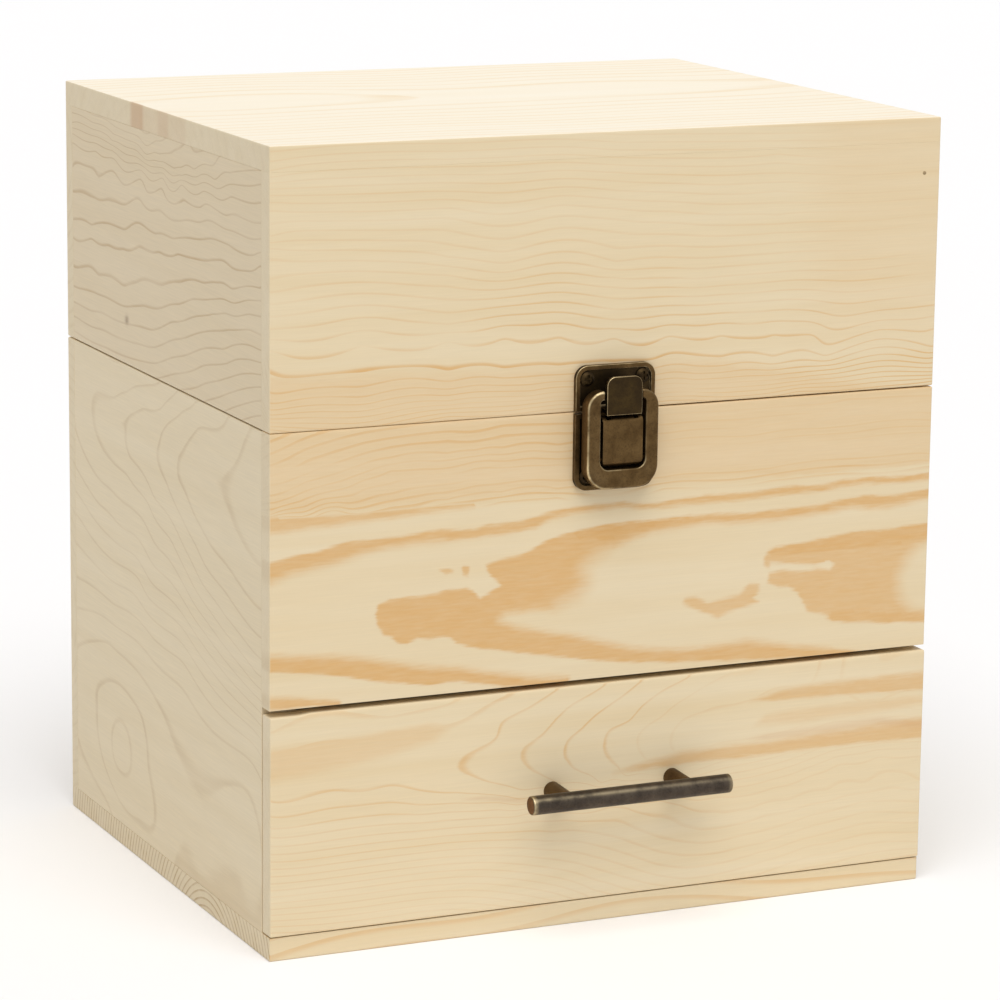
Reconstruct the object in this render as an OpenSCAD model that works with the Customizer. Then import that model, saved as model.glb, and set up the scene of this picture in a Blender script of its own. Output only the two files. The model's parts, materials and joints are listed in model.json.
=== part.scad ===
// Pine storage box for small oil bottles: hinged lid, toggle latch, lift-out tray and drawer.
// The origin is the centre of the underside. X runs to the right, Y to the back and Z up, in millimetres.

/* [Box] */
// Width over the side panels
box_w = 245; // [225:1:275]
// Depth over the front and back panels
box_d = 201; // [190:1:225]
// Height with the lid closed
box_h = 270; // [258:1:300]
// Height of the seam between body and lid
seam_z = 177; // [172:1:182]
// Underside of the front panel, which is the top of the drawer bay
bay_top = 85.3; // [80:0.1:88]
// Gap between the lid's rim and the body's rim
seam_gap = 0.4; // [0.3:0.1:0.8]

/* [Boards] */
// Thickness of the front and back panels
panel_t = 7; // [6:0.5:9]
// Thickness of the side panels
side_t = 12; // [9:0.5:14]
// Thickness of the bottom board
bottom_t = 8; // [6:0.5:10]
// Thickness of the lid's top board
top_t = 8.5; // [6:0.5:10]
// Thickness of the shelf over the drawer bay
shelf_t = 5; // [4:0.5:7]
// Rounding sanded on the outer edges
ease_r = 0.6; // [0.3:0.1:1.5]

/* [Bottle cells] */
// Cells across the box
columns = 6; // [4:1:6]
// Rows of cells in front of the long rear compartment
rows = 4; // [3:1:4]
// Thickness of the slats
slat_t = 3; // [2:0.5:4]
// Height of the slats
slat_h = 50; // [35:1:58]
// Play in the half-lap joints
lap_gap = 0.1; // [0.05:0.05:0.2]

/* [Tray] */
// Height of the tray
tray_h = 50; // [40:1:54]
// Thickness of the tray's walls
tray_wall_t = 5; // [4:0.5:7]
// Thickness of the tray's bottom
tray_floor_t = 3; // [2.5:0.5:5]
// Depth to which the tray sinks below the body's rim
tray_sink = 8; // [6:1:10]
// Play beside and behind the tray
tray_gap = 1; // [0.6:0.1:1.5]
// Room in front of the tray for the swing of the lid
tray_front_gap = 7; // [6.5:0.1:10]
// Width of the ledges that carry the tray
ledge_w = 5; // [4:0.5:8]
// Height of the ledges
ledge_h = 8; // [6:1:10]
// Length of the hand holes in the tray's end walls
hand_hole_l = 75; // [60:1:90]
// Height of the hand holes
hand_hole_h = 20; // [16:1:22]

/* [Drawer] */
// Distance by which the drawer front stands in front of the front panel
drawer_proud = 0.6; // [0.3:0.1:2]
// Gap over the drawer front
drawer_top_gap = 2.3; // [1.5:0.1:4]
// Gap under the drawer
drawer_foot_gap = 0.4; // [0.3:0.1:0.8]
// Play beside the drawer
drawer_side_gap = 0.8; // [0.5:0.1:1.5]
// Room behind the drawer
drawer_rear_gap = 4; // [2:0.5:8]
// Height of the drawer's side walls
drawer_wall_h = 60; // [45:1:66]
// Thickness of the drawer's side walls and back
drawer_wall_t = 7; // [6:0.5:9]
// Thickness of the drawer's bottom panel
drawer_floor_t = 3; // [2.5:0.5:4]
// Height of the bottom panel over the drawer's lower edge
drawer_floor_z = 4; // [3:0.5:8]
// Depth of the grooves that hold the bottom panel
groove_depth = 3; // [2:0.5:3.5]
// Play of the bottom panel in its grooves
groove_gap = 0.1; // [0.05:0.05:0.3]

/* [Handle] */
// Diameter of the bar
bar_d = 6.5; // [5.5:0.1:8]
// Length of the bar
bar_l = 74.5; // [66:0.5:110]
// Chamfer on the bar's ends
bar_chamfer = 0.7; // [0.3:0.1:1]
// Distance from the drawer front to the bar's axis
bar_reach = 14.5; // [13:0.5:24]
// Height of the bar's axis
bar_z = 48; // [35:0.5:58]
// Distance from the drawer's middle to the handle's middle, to the right
handle_x = 1.8; // [-5:0.1:5]
// Distance between the two posts
post_spacing = 45; // [38:0.5:56]
// Diameter of a post at the bar
post_d = 5.4; // [4.8:0.1:5.5]
// Diameter of a post at the drawer front
post_foot_d = 6.2; // [6:0.1:9]
// Diameter of the spigot by which a post enters the bar
spigot_d = 3; // [2:0.1:3.5]
// Depth of the spigot in the bar
spigot_l = 2.2; // [1.5:0.1:2.5]
// Diameter of the handle screws
handle_screw_d = 3.6; // [3:0.1:4]
// Diameter of the handle screws' heads
handle_head_d = 7.5; // [6.5:0.1:9]
// Height of the handle screws' heads
handle_head_h = 2.2; // [1.5:0.1:3]
// Length of screw inside a post
handle_screw_grip = 8; // [6:0.5:10]

/* [Latch] */
// Width of the catch plate and of the base plate
latch_w = 29.2; // [28.5:0.1:32]
// Height of the catch plate
catch_h = 15.3; // [14:0.1:18]
// Height of the base plate
base_h = 26; // [25:0.5:30]
// Corner radius of the two plates
latch_corner_r = 4.4; // [2:0.1:5]
// Thickness of the sheet
sheet_t = 1; // [0.8:0.1:1.2]
// Width of the raised rim round the plates
rim_w = 1.6; // [1.2:0.1:2]
// Height of the rim over the sheet
rim_h = 0.9; // [0.5:0.1:1.1]
// Distance from a plate to the seam
plate_seam_gap = 0.2; // [0.1:0.1:0.5]
// Width of the catch tongue
tongue_w = 12.9; // [12:0.1:13.5]
// Height of the catch tongue
tongue_h = 12.3; // [11.5:0.1:13.5]
// Distance by which the tongue's face hangs below its root
tongue_lip = 0.6; // [0.4:0.1:0.7]
// Thickness of the catch tongue
tongue_t = 1.5; // [1.2:0.1:2]
// Distance from the panel to the tongue's face
tongue_proud = 9; // [8.5:0.1:10]
// Radius of the tongue's free corners
tongue_r = 3; // [2.5:0.1:4]
// Distance from the panel to the axes of the flap and the ring
pivot_proud = 5.8; // [5.5:0.1:6.5]
// Radius of the flap's knuckles
flap_knuckle_r = 2.2; // [1.9:0.1:2.3]
// Width of the flap
flap_w = 14.6; // [14:0.1:15]
// Height of the flap
flap_h = 16.7; // [15.5:0.1:17.5]
// Thickness of the flap
flap_t = 1.3; // [1:0.1:1.5]
// Distance from the body's rim to the top of the flap
flap_drop = 0.8; // [0.6:0.1:1.5]
// Width of the ring
ring_w = 26.2; // [25:0.1:28]
// Width of the gap between flap and ring
ring_gap = 1; // [0.7:0.1:1.2]
// Width of the ring's lower bar
ring_bar_w = 6.6; // [5:0.1:7]
// Distance by which the ring's ends rise over the seam
ring_rise = 8; // [7:0.1:10]
// Height of the ring's turned-in ends
ring_end_h = 3; // [2.5:0.1:4]
// Gap between the ring's ends and the tongue
ring_end_gap = 0.35; // [0.3:0.05:0.5]
// Depth of the ring, from its back to its face
ring_depth = 5; // [4.5:0.1:5.2]
// Distance from the panel to the ring's back
ring_back = 3.3; // [3:0.1:3.5]
// Radius of the ring's outer corners
ring_corner_r = 7.5; // [5:0.1:8]
// Radius of the ring's inner corners
window_r = 2.4; // [1.5:0.1:2.6]
// Diameter of the flap pin and the ring pin
latch_pin_d = 1.6; // [1.4:0.1:1.8]
// Thickness of the ears that hold the flap pin
ear_t = 1.2; // [1:0.1:1.5]
// Distance from the middle to an ear's inner face
ear_x = 4.3; // [4:0.1:4.5]
// Radius of the ears
ear_r = 1.45; // [1.3:0.05:1.5]
// Half height of the ears' stems
stem_r = 1.05; // [0.9:0.05:1.1]
// Gap round an ear
ear_gap = 0.3; // [0.25:0.05:0.4]

/* [Latch screws] */
// Diameter of the latch screws' heads
latch_head_d = 5; // [4.5:0.1:5.4]
// Height of the latch screws' heads
latch_head_h = 1.2; // [0.9:0.1:1.4]
// Diameter of the latch screws
latch_screw_d = 2; // [1.8:0.1:2.4]
// Length of the latch screws under the head
latch_screw_l = 6.5; // [5:0.1:6.8]
// Distance from the middle to a latch screw
latch_screw_x = 10.2; // [9.9:0.1:10.5]
// Distance from a plate's outer end to its screws
latch_screw_inset = 4.5; // [4.3:0.1:5]

/* [Hinges] */
// Distance from the middle to a hinge
hinge_x = 70; // [50:1:85]
// Width of a hinge
hinge_w = 30; // [24:1:40]
// Height of a leaf
leaf_h = 17; // [15:0.5:22]
// Thickness of a leaf
leaf_t = 1; // [0.8:0.1:1.3]
// Distance from the back panel to the hinge axis
hinge_offset = 2.8; // [2.7:0.1:3.2]
// Radius of the knuckles
knuckle_r = 2.4; // [2.2:0.1:2.4]
// Diameter of the hinge pins
hinge_pin_d = 2.2; // [1.8:0.1:2.6]
// Gap between knuckles and round the other leaf's knuckles
knuckle_gap = 0.3; // [0.25:0.05:0.5]
// Reach of the stop lips from the hinge axis
lip_reach = 5.6; // [5:0.1:7]
// Angle of the stop lips to the horizontal with the lid closed
lip_angle = 64; // [62:1:68]
// Diameter of the hinge screws' heads
hinge_head_d = 4.4; // [4:0.1:5]
// Diameter of the hinge screws
hinge_screw_d = 2; // [1.6:0.1:2.4]
// Length of the hinge screws
hinge_screw_l = 6.5; // [5:0.1:6.8]
// Distance from the seam to the hinge screws
hinge_screw_z = 10.5; // [8:0.1:12]

/* [Fits] */
// Radial clearance of a pin that turns in its bore
pin_play = 0.05; // [0.02:0.01:0.09]
// Radial clearance of a screw that passes through a board
screw_play = 0.3; // [0.2:0.1:0.5]

/* [Brads] */
// Diameter of the brads
brad_d = 1.3; // [1:0.1:1.6]
// Length of the brads
brad_l = 22; // [18:1:30]
// Distance from a panel's end to its nearest brad
brad_inset = 10.5; // [9:0.5:14]

/* [Hidden] */
$fn = 48;
pine = [0.93, 0.83, 0.66];
plywood = [0.88, 0.78, 0.60];
bronze = [0.30, 0.21, 0.13];
steel = [0.75, 0.75, 0.76];
bite = 1;

// Box faces and inner space
front_y = -box_d / 2;
back_y = box_d / 2;
inner_w = box_w - 2 * side_t;
inner_front_y = front_y + panel_t;
inner_back_y = back_y - panel_t;
inner_d = inner_back_y - inner_front_y;
body_top = seam_z - seam_gap / 2;
lid_bottom = seam_z + seam_gap / 2;
lid_ceiling = box_h - top_t;
shelf_top = bay_top + shelf_t;

// Bottle cells
cell_w = (inner_w - (columns - 1) * slat_t) / columns;
cell_d = (inner_d - rows * slat_t) / (rows + 1);
function cross_slat_x(i) = -inner_w / 2 + i * (cell_w + slat_t) - slat_t;
function long_slat_y(j) = inner_front_y + j * (cell_d + slat_t) - slat_t;

// Tray
tray_z = body_top - tray_sink;
tray_top = tray_z + tray_h;
tray_x = inner_w / 2 - tray_gap;
tray_front_y = inner_front_y + tray_front_gap;
tray_back_y = inner_back_y - tray_gap;
hand_hole_z = tray_top - hand_hole_h;

// Drawer
drawer_face_y = front_y - drawer_proud;
drawer_in_y = drawer_face_y + panel_t;
drawer_z = bottom_t + drawer_foot_gap;
drawer_front_top = bay_top - drawer_top_gap;
drawer_x = inner_w / 2 - drawer_side_gap;
drawer_in_x = drawer_x - drawer_wall_t;
drawer_end_y = inner_back_y - drawer_rear_gap;
drawer_top = drawer_z + drawer_wall_h;
drawer_floor_low = drawer_z + drawer_floor_z;
drawer_floor_top = drawer_floor_low + drawer_floor_t;

// Handle
bar_y = drawer_face_y - bar_reach;

// Latch
catch_z = lid_bottom + plate_seam_gap;
base_top = body_top - plate_seam_gap;
base_z = base_top - base_h;
flap_top = body_top - flap_drop;
flap_z = flap_top - flap_h;
flap_pivot_z = flap_top - flap_knuckle_r;
ring_pivot_z = flap_z + flap_knuckle_r;
window_w = flap_w + 2 * ring_gap;
window_z = flap_z - ring_gap;
ring_z = window_z - ring_bar_w;
ring_top = seam_z + ring_rise;
window_top = ring_top - ring_end_h;
ring_end_x = tongue_w / 2 + ring_end_gap;

// Hinges
hinge_y = back_y + hinge_offset;
knuckle_pitch = hinge_w / 3;
knuckle_l = knuckle_pitch - knuckle_gap;
lip_w = hinge_w - knuckle_gap;
lip_root = (knuckle_r + hinge_pin_d / 2) / 2;
// The lid's leaf has the middle knuckle, the body's leaf the outer two
function knuckle_places(s) = s > 0 ? [0] : [-knuckle_pitch, knuckle_pitch];

// Brads: the middle of a side panel's thickness, and heights on the lid and the body
brad_x = box_w / 2 - side_t / 2;
lid_brad_z = [lid_bottom + brad_inset, lid_ceiling - brad_inset];
front_brad_z = [bay_top + brad_inset, body_top - brad_inset];
back_brad_z = [bottom_t + brad_inset, (bottom_t + body_top) / 2, body_top - brad_inset];

SIDES = ["left", "right"];
function side_sign(side) = side == "left" ? -1 : 1;
function post_x(side) = handle_x + side_sign(side) * post_spacing / 2;
LONG_SLATS = [for (j = [1 : rows]) str("long_slat_", j)];
CROSS_SLATS = [for (i = [1 : columns - 1]) str("cross_slat_", i)];

// Shared shapes

// Block between two opposite corners
module block(low, high) {
    translate(low)
        cube(high - low);
}

// Rectangle with round corners, centred on the origin
module rounded_rect(w, h, r) {
    square([w - 2 * r, h], center = true);
    square([w, h - 2 * r], center = true);
    for (x = [-1, 1], y = [-1, 1])
        translate([x * (w / 2 - r), y * (h / 2 - r)])
            circle(r);
}

// Block with sanded edges, centred on X
module eased_block(w, y_low, y_high, z_low, z_high) {
    d = y_high - y_low;
    h = z_high - z_low;
    translate([0, (y_low + y_high) / 2, (z_low + z_high) / 2])
        intersection() {
            linear_extrude(h, center = true)
                rounded_rect(w, d, ease_r);
            rotate([90, 0, 0])
                linear_extrude(d, center = true)
                    rounded_rect(w, h, ease_r);
            rotate([90, 0, 90])
                linear_extrude(w, center = true)
                    rounded_rect(d, h, ease_r);
        }
}

// Board of the body, cut from the body's sanded outer shape
module body_board(low, high) {
    color(pine)
        intersection() {
            eased_block(box_w, front_y, back_y, 0, body_top);
            block(low, high);
        }
}

// Board of the lid, cut from the lid's sanded outer shape
module lid_board(low, high) {
    color(pine)
        intersection() {
            eased_block(box_w, front_y, back_y, lid_bottom, box_h);
            block(low, high);
        }
}

// Plate outline with two round corners at its top, standing on the origin
module tab_outline(w, h, r) {
    translate([-w / 2, 0])
        square([w, h - r]);
    translate([-w / 2 + r, 0])
        square([w - 2 * r, h]);
    for (x = [-1, 1])
        translate([x * (w / 2 - r), h - r])
            circle(r);
}

// Outline in X and Z raised out of the front, from one distance to another
module raised(from, to) {
    translate([0, front_y - from, 0])
        rotate([90, 0, 0])
            linear_extrude(to - from)
                children();
}

// Profile in distance from the front and Z, swept across a width in the middle
module across(width) {
    translate([-width / 2, front_y, 0])
        rotate([90, 0, 90])
            linear_extrude(width)
                mirror([1, 0])
                    children();
}

// Rod along X through a point in distance from the front and Z
module cross_rod(proud, z, d, length) {
    translate([0, front_y - proud, z])
        rotate([0, 90, 0])
            cylinder(d = d, h = length, center = true);
}

// Screw with a low domed head and a cross recess, pointing down from the origin
module dome_screw(head_d, head_h, shank_d, length) {
    recess_w = head_d / 6;
    difference() {
        rotate_extrude()
            polygon([[0, 0], [head_d / 2, 0], [head_d / 2, head_h * 0.4], [head_d * 0.3, head_h], [0, head_h]]);
        for (turn = [0, 90])
            rotate(turn)
                translate([-head_d * 0.3, -recess_w / 2, head_h * 0.45])
                    cube([head_d * 0.6, recess_w, head_h]);
    }
    translate([0, 0, -length])
        cylinder(d = shank_d, h = length);
}

// Countersunk screw, its flat head level with the origin
module flat_screw(head_d, shank_d, length, recess) {
    sink = (head_d - shank_d) / 2;
    recess_w = head_d / 6;
    difference() {
        rotate_extrude()
            polygon([[0, 0], [head_d / 2, 0], [shank_d / 2, -sink], [shank_d / 2, -length], [0, -length]]);
        if (recess)
            for (turn = [0, 90])
                rotate(turn)
                    translate([-head_d * 0.3, -recess_w / 2, -sink * 0.6])
                        cube([head_d * 0.6, recess_w, sink]);
    }
}

// Body

module bottom_board() {
    body_board([-box_w / 2, front_y, 0], [box_w / 2, back_y, bottom_t]);
}

// Brad driven into the box along Y from a face, with s = 1 at the front and -1 at the back
module brad(x, z, s) {
    translate([x, s * front_y, z])
        rotate([-90 * s, 0, 0])
            cylinder(d = brad_d, h = brad_l);
}

module body_brads() {
    color(steel)
        for (x = [-brad_x, brad_x]) {
            for (z = front_brad_z)
                brad(x, z, 1);
            for (z = back_brad_z)
                brad(x, z, -1);
        }
}

// Side panel between the front and back panels
module side_panel(side) {
    s = side_sign(side);
    difference() {
        body_board(
            [min(s * box_w / 2, s * inner_w / 2), inner_front_y, bottom_t],
            [max(s * box_w / 2, s * inner_w / 2), inner_back_y, body_top]
        );
        body_brads();
    }
}

module back_panel() {
    difference() {
        body_board([-box_w / 2, inner_back_y, bottom_t], [box_w / 2, back_y, body_top]);
        body_brads();
        hinge_screw_set(-1);
    }
}

module front_panel() {
    difference() {
        body_board([-box_w / 2, front_y, bay_top], [box_w / 2, inner_front_y, body_top]);
        body_brads();
        latch_base_screws();
    }
}

module shelf() {
    color(plywood)
        block([-inner_w / 2, inner_front_y, bay_top], [inner_w / 2, inner_back_y, shelf_top]);
}

// Strip on a side panel that carries one end of the tray
module tray_ledge(side) {
    s = side_sign(side);
    edge = s * inner_w / 2;
    color(pine)
        block(
            [min(edge, edge - s * ledge_w), inner_front_y, tray_z - ledge_h],
            [max(edge, edge - s * ledge_w), inner_back_y, tray_z]
        );
}

// Bottle cells

// Slat along X, notched from the top where the cross slats drop in; the last one closes the rear compartment
module long_slat(j) {
    y = long_slat_y(j);
    color(plywood)
        difference() {
            block([-inner_w / 2, y, shelf_top], [inner_w / 2, y + slat_t, shelf_top + slat_h]);
            if (j < rows)
                for (i = [1 : columns - 1])
                    translate([cross_slat_x(i) - lap_gap, y - bite, shelf_top + slat_h / 2 - lap_gap])
                        cube([slat_t + 2 * lap_gap, slat_t + 2 * bite, slat_h]);
        }
}

// Slat along Y, notched from below where it sits over the long slats
module cross_slat(i) {
    x = cross_slat_x(i);
    color(plywood)
        difference() {
            block([x, inner_front_y, shelf_top], [x + slat_t, long_slat_y(rows), shelf_top + slat_h]);
            for (j = [1 : rows - 1])
                translate([x - bite, long_slat_y(j) - lap_gap, shelf_top - bite])
                    cube([slat_t + 2 * bite, slat_t + 2 * lap_gap, slat_h / 2 + lap_gap + bite]);
        }
}

// Lid

module lid_top() {
    lid_board([-box_w / 2, front_y, lid_ceiling], [box_w / 2, back_y, box_h]);
}

module lid_brads() {
    color(steel)
        for (x = [-brad_x, brad_x], z = lid_brad_z, s = [-1, 1])
            brad(x, z, s);
}

module lid_front() {
    difference() {
        lid_board([-box_w / 2, front_y, lid_bottom], [box_w / 2, inner_front_y, lid_ceiling]);
        lid_brads();
        catch_screws();
    }
}

module lid_back() {
    difference() {
        lid_board([-box_w / 2, inner_back_y, lid_bottom], [box_w / 2, back_y, lid_ceiling]);
        lid_brads();
        hinge_screw_set(1);
    }
}

// Side board of the lid, between its front and back boards
module lid_side(side) {
    s = side_sign(side);
    difference() {
        lid_board(
            [min(s * box_w / 2, s * inner_w / 2), inner_front_y, lid_bottom],
            [max(s * box_w / 2, s * inner_w / 2), inner_back_y, lid_ceiling]
        );
        lid_brads();
    }
}

// Tray

module tray_bottom() {
    color(plywood)
        block([-tray_x, tray_front_y, tray_z], [tray_x, tray_back_y, tray_z + tray_floor_t]);
}

// Long wall of the tray that starts at a given depth
module tray_wall(y) {
    color(pine)
        block([-tray_x, y, tray_z + tray_floor_t], [tray_x, y + tray_wall_t, tray_top]);
}

module tray_front() {
    tray_wall(tray_front_y);
}

module tray_back() {
    tray_wall(tray_back_y - tray_wall_t);
}

// Wall across the tray that starts at a given width
module tray_cross_wall(x) {
    block(
        [x, tray_front_y + tray_wall_t, tray_z + tray_floor_t],
        [x + tray_wall_t, tray_back_y - tray_wall_t, tray_top]
    );
}

module tray_divider() {
    color(plywood)
        tray_cross_wall(-tray_wall_t / 2);
}

// End wall of the tray with a hand hole that has round ends
module tray_end(side) {
    s = side_sign(side);
    x = s > 0 ? tray_x - tray_wall_t : -tray_x;
    hole_y = (tray_front_y + tray_back_y) / 2;
    hole_half = (hand_hole_l - hand_hole_h) / 2;
    color(pine)
        difference() {
            tray_cross_wall(x);
            translate([x - bite, hole_y, hand_hole_z])
                rotate([90, 0, 90])
                    linear_extrude(tray_wall_t + 2 * bite) {
                        square([2 * hole_half, hand_hole_h], center = true);
                        for (y = [-hole_half, hole_half])
                            translate([y, 0])
                                circle(d = hand_hole_h);
                    }
        }
}

// Drawer

// Bottom panel of the drawer, grown on every side by a margin
module drawer_floor(margin) {
    block(
        [-drawer_in_x - groove_depth - margin, drawer_in_y - groove_depth - margin, drawer_floor_low - margin],
        [drawer_in_x + groove_depth + margin, drawer_end_y + margin, drawer_floor_top + margin]
    );
}

module drawer_bottom() {
    color(plywood)
        drawer_floor(-groove_gap);
}

module drawer_front() {
    color(pine)
        difference() {
            eased_block(box_w, drawer_face_y, drawer_in_y, drawer_z, drawer_front_top);
            drawer_floor(0);
            for (side = SIDES)
                translate([post_x(side), drawer_in_y + bite, bar_z])
                    rotate([90, 0, 0])
                        cylinder(r = handle_screw_d / 2 + screw_play, h = panel_t + 2 * bite);
        }
}

// Side wall of the drawer with the groove for the bottom panel
module drawer_side(side) {
    s = side_sign(side);
    color(pine)
        difference() {
            block(
                [min(s * drawer_x, s * drawer_in_x), drawer_in_y, drawer_z],
                [max(s * drawer_x, s * drawer_in_x), drawer_end_y, drawer_top]
            );
            drawer_floor(0);
        }
}

module drawer_back() {
    color(pine)
        block(
            [-drawer_in_x, drawer_end_y - drawer_wall_t, drawer_floor_top],
            [drawer_in_x, drawer_end_y, drawer_top]
        );
}

// Handle

// Spigots of both posts, as they sit in the bar
module spigots() {
    for (side = SIDES)
        translate([post_x(side), bar_y + bar_d / 2 - spigot_l, bar_z])
            rotate([-90, 0, 0])
                cylinder(d = spigot_d, h = spigot_l + bite);
}

// Round bar with chamfered ends
module handle_bar() {
    r = bar_d / 2;
    half = bar_l / 2;
    color(bronze)
        difference() {
            translate([handle_x, bar_y, bar_z])
                rotate([0, 90, 0])
                    rotate_extrude()
                        polygon([
                            [0, -half], [r - bar_chamfer, -half], [r, bar_chamfer - half],
                            [r, half - bar_chamfer], [r - bar_chamfer, half], [0, half]
                        ]);
            spigots();
        }
}

// Tapered post, hollowed to sit on the bar, with a spigot at one end and a screw hole at the other
module handle_post(side) {
    color(bronze)
        difference() {
            translate([post_x(side), drawer_face_y, bar_z])
                rotate([90, 0, 0])
                    difference() {
                        union() {
                            cylinder(d1 = post_foot_d, d2 = post_d, h = bar_reach - bar_d / 4);
                            cylinder(d = spigot_d, h = bar_reach - bar_d / 2 + spigot_l);
                        }
                        translate([0, 0, -bite])
                            cylinder(d = handle_screw_d, h = handle_screw_grip + bite);
                    }
            difference() {
                translate([handle_x, bar_y, bar_z])
                    rotate([0, 90, 0])
                        cylinder(d = bar_d, h = bar_l, center = true);
                spigots();
            }
        }
}

module handle_screws() {
    color(steel)
        for (side = SIDES)
            translate([post_x(side), drawer_in_y, bar_z])
                rotate([-90, 0, 0])
                    dome_screw(handle_head_d, handle_head_h, handle_screw_d, panel_t + handle_screw_grip);
}

// Latch

// Dished plate with a raised rim; the outline's foot is the edge at the seam
module rimmed_plate(h) {
    raised(0, sheet_t)
        tab_outline(latch_w, h, latch_corner_r);
    raised(0, sheet_t + rim_h)
        difference() {
            tab_outline(latch_w, h, latch_corner_r);
            translate([0, rim_w])
                tab_outline(latch_w - 2 * rim_w, h - 2 * rim_w, latch_corner_r - rim_w);
        }
}

// Hooked tongue seen from the side: a web out from the plate and a face that points up
module tongue_profile() {
    translate([sheet_t / 2, 0])
        square([tongue_proud - sheet_t / 2, tongue_t]);
    translate([tongue_proud - tongue_t, -tongue_lip])
        square([tongue_t, tongue_h + tongue_lip]);
}

module catch_plate() {
    color(bronze)
        difference() {
            union() {
                translate([0, 0, catch_z])
                    rimmed_plate(catch_h);
                intersection() {
                    translate([0, 0, catch_z])
                        across(tongue_w)
                            tongue_profile();
                    translate([0, 0, catch_z - tongue_lip])
                        raised(0, tongue_proud)
                            tab_outline(tongue_w, tongue_h + tongue_lip, tongue_r);
                }
            }
            catch_screws();
        }
}

// Pair of latch screws at a height
module latch_screw_pair(z) {
    color(bronze)
        for (x = [-latch_screw_x, latch_screw_x])
            translate([x, front_y - sheet_t, z])
                rotate([90, 0, 0])
                    dome_screw(latch_head_d, latch_head_h, latch_screw_d, latch_screw_l);
}

module catch_screws() {
    latch_screw_pair(catch_z + catch_h - latch_screw_inset);
}

module latch_base_screws() {
    latch_screw_pair(base_z + latch_screw_inset);
}

// Base plate with the two ears that hold the flap pin
module latch_base() {
    color(bronze)
        difference() {
            union() {
                translate([0, 0, base_top])
                    mirror([0, 0, 1])
                        rimmed_plate(base_h);
                for (s = [-1, 1])
                    translate([s * (ear_x + ear_t / 2), 0, 0])
                        across(ear_t) {
                            translate([pivot_proud, flap_pivot_z])
                                circle(ear_r);
                            translate([sheet_t / 2, flap_pivot_z - stem_r])
                                square([pivot_proud - sheet_t / 2, 2 * stem_r]);
                        }
            }
            cross_rod(pivot_proud, flap_pivot_z, latch_pin_d, flap_w);
            latch_base_screws();
        }
}

module latch_flap_pin() {
    color(bronze)
        cross_rod(pivot_proud, flap_pivot_z, latch_pin_d, flap_w - 2 * ring_end_gap);
}

// Square flap with a knuckle at each end, notched for the ears
module latch_flap() {
    face = pivot_proud + flap_knuckle_r;
    color(bronze)
        difference() {
            intersection() {
                across(flap_w) {
                    for (z = [flap_pivot_z, ring_pivot_z])
                        translate([pivot_proud, z])
                            circle(flap_knuckle_r);
                    translate([face - flap_t, ring_pivot_z])
                        square([flap_t, flap_pivot_z - ring_pivot_z]);
                }
                translate([0, 0, flap_top])
                    mirror([0, 0, 1])
                        raised(0, face)
                            tab_outline(flap_w, flap_h, flap_knuckle_r);
            }
            for (z = [flap_pivot_z, ring_pivot_z])
                cross_rod(pivot_proud, z, latch_pin_d + 2 * pin_play, flap_w + 2 * bite);
            for (s = [-1, 1])
                translate([s * (ear_x + ear_t / 2), 0, 0])
                    across(ear_t + 2 * ear_gap) {
                        translate([pivot_proud, flap_pivot_z])
                            circle(ear_r + ear_gap);
                        translate([pivot_proud - 2 * flap_knuckle_r, flap_pivot_z - ear_r])
                            square([2 * flap_knuckle_r + ear_r + ear_gap, 3 * flap_knuckle_r]);
                    }
        }
}

// Ring round the flap: a lower bar and two arms whose ends curl in beside the tongue
module latch_ring() {
    color(bronze)
        difference() {
            raised(ring_back, ring_back + ring_depth)
                difference() {
                    translate([0, (ring_z + ring_top) / 2])
                        rounded_rect(ring_w, ring_top - ring_z, ring_corner_r);
                    translate([0, (window_z + window_top) / 2])
                        rounded_rect(window_w, window_top - window_z, window_r);
                    translate([0, ring_top])
                        square([2 * ring_end_x, 4 * ring_end_h], center = true);
                }
            latch_ring_pin();
        }
}

module latch_ring_pin() {
    color(bronze)
        cross_rod(pivot_proud, ring_pivot_z, latch_pin_d, (ring_w + window_w) / 2);
}

// Hinges

// Cylinder along X on the hinge axis, at an offset from the hinge's middle
module hinge_rod(offset_x, r, length) {
    translate([offset_x, hinge_y, seam_z])
        rotate([0, 90, 0])
            cylinder(r = r, h = length, center = true);
}

// Knuckles of one leaf
module knuckles(s, r, length) {
    for (x = knuckle_places(s))
        hinge_rod(x, r, length);
}

// One leaf with its knuckles and its stop lip, with s = 1 for the lid and -1 for the body
module hinge_leaf(s) {
    clear_r = knuckle_r + knuckle_gap;
    leaf_from = sqrt(pow(clear_r, 2) - pow(hinge_offset - leaf_t, 2));
    bore_r = hinge_pin_d / 2 + (s > 0 ? pin_play : 0);
    color(bronze)
        difference() {
            union() {
                translate([-hinge_w / 2, back_y, seam_z + min(s * leaf_from, s * leaf_h)])
                    cube([hinge_w, leaf_t, leaf_h - leaf_from]);
                for (x = knuckle_places(s))
                    translate([x - knuckle_l / 2, back_y, seam_z + min(0, s * leaf_from)])
                        cube([knuckle_l, leaf_t, leaf_from]);
                knuckles(s, knuckle_r, knuckle_l);
                translate([0, hinge_y, seam_z])
                    rotate([s * lip_angle, 0, 0])
                        translate([-lip_w / 2, lip_root, -leaf_t / 2])
                            cube([lip_w, lip_reach - lip_root, leaf_t]);
            }
            knuckles(-s, clear_r, knuckle_l + 2 * knuckle_gap);
            hinge_rod(0, bore_r, hinge_w + 2 * bite);
            translate([-hinge_x, 0, 0])
                hinge_screw_set(s, recess = false);
        }
}

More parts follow.
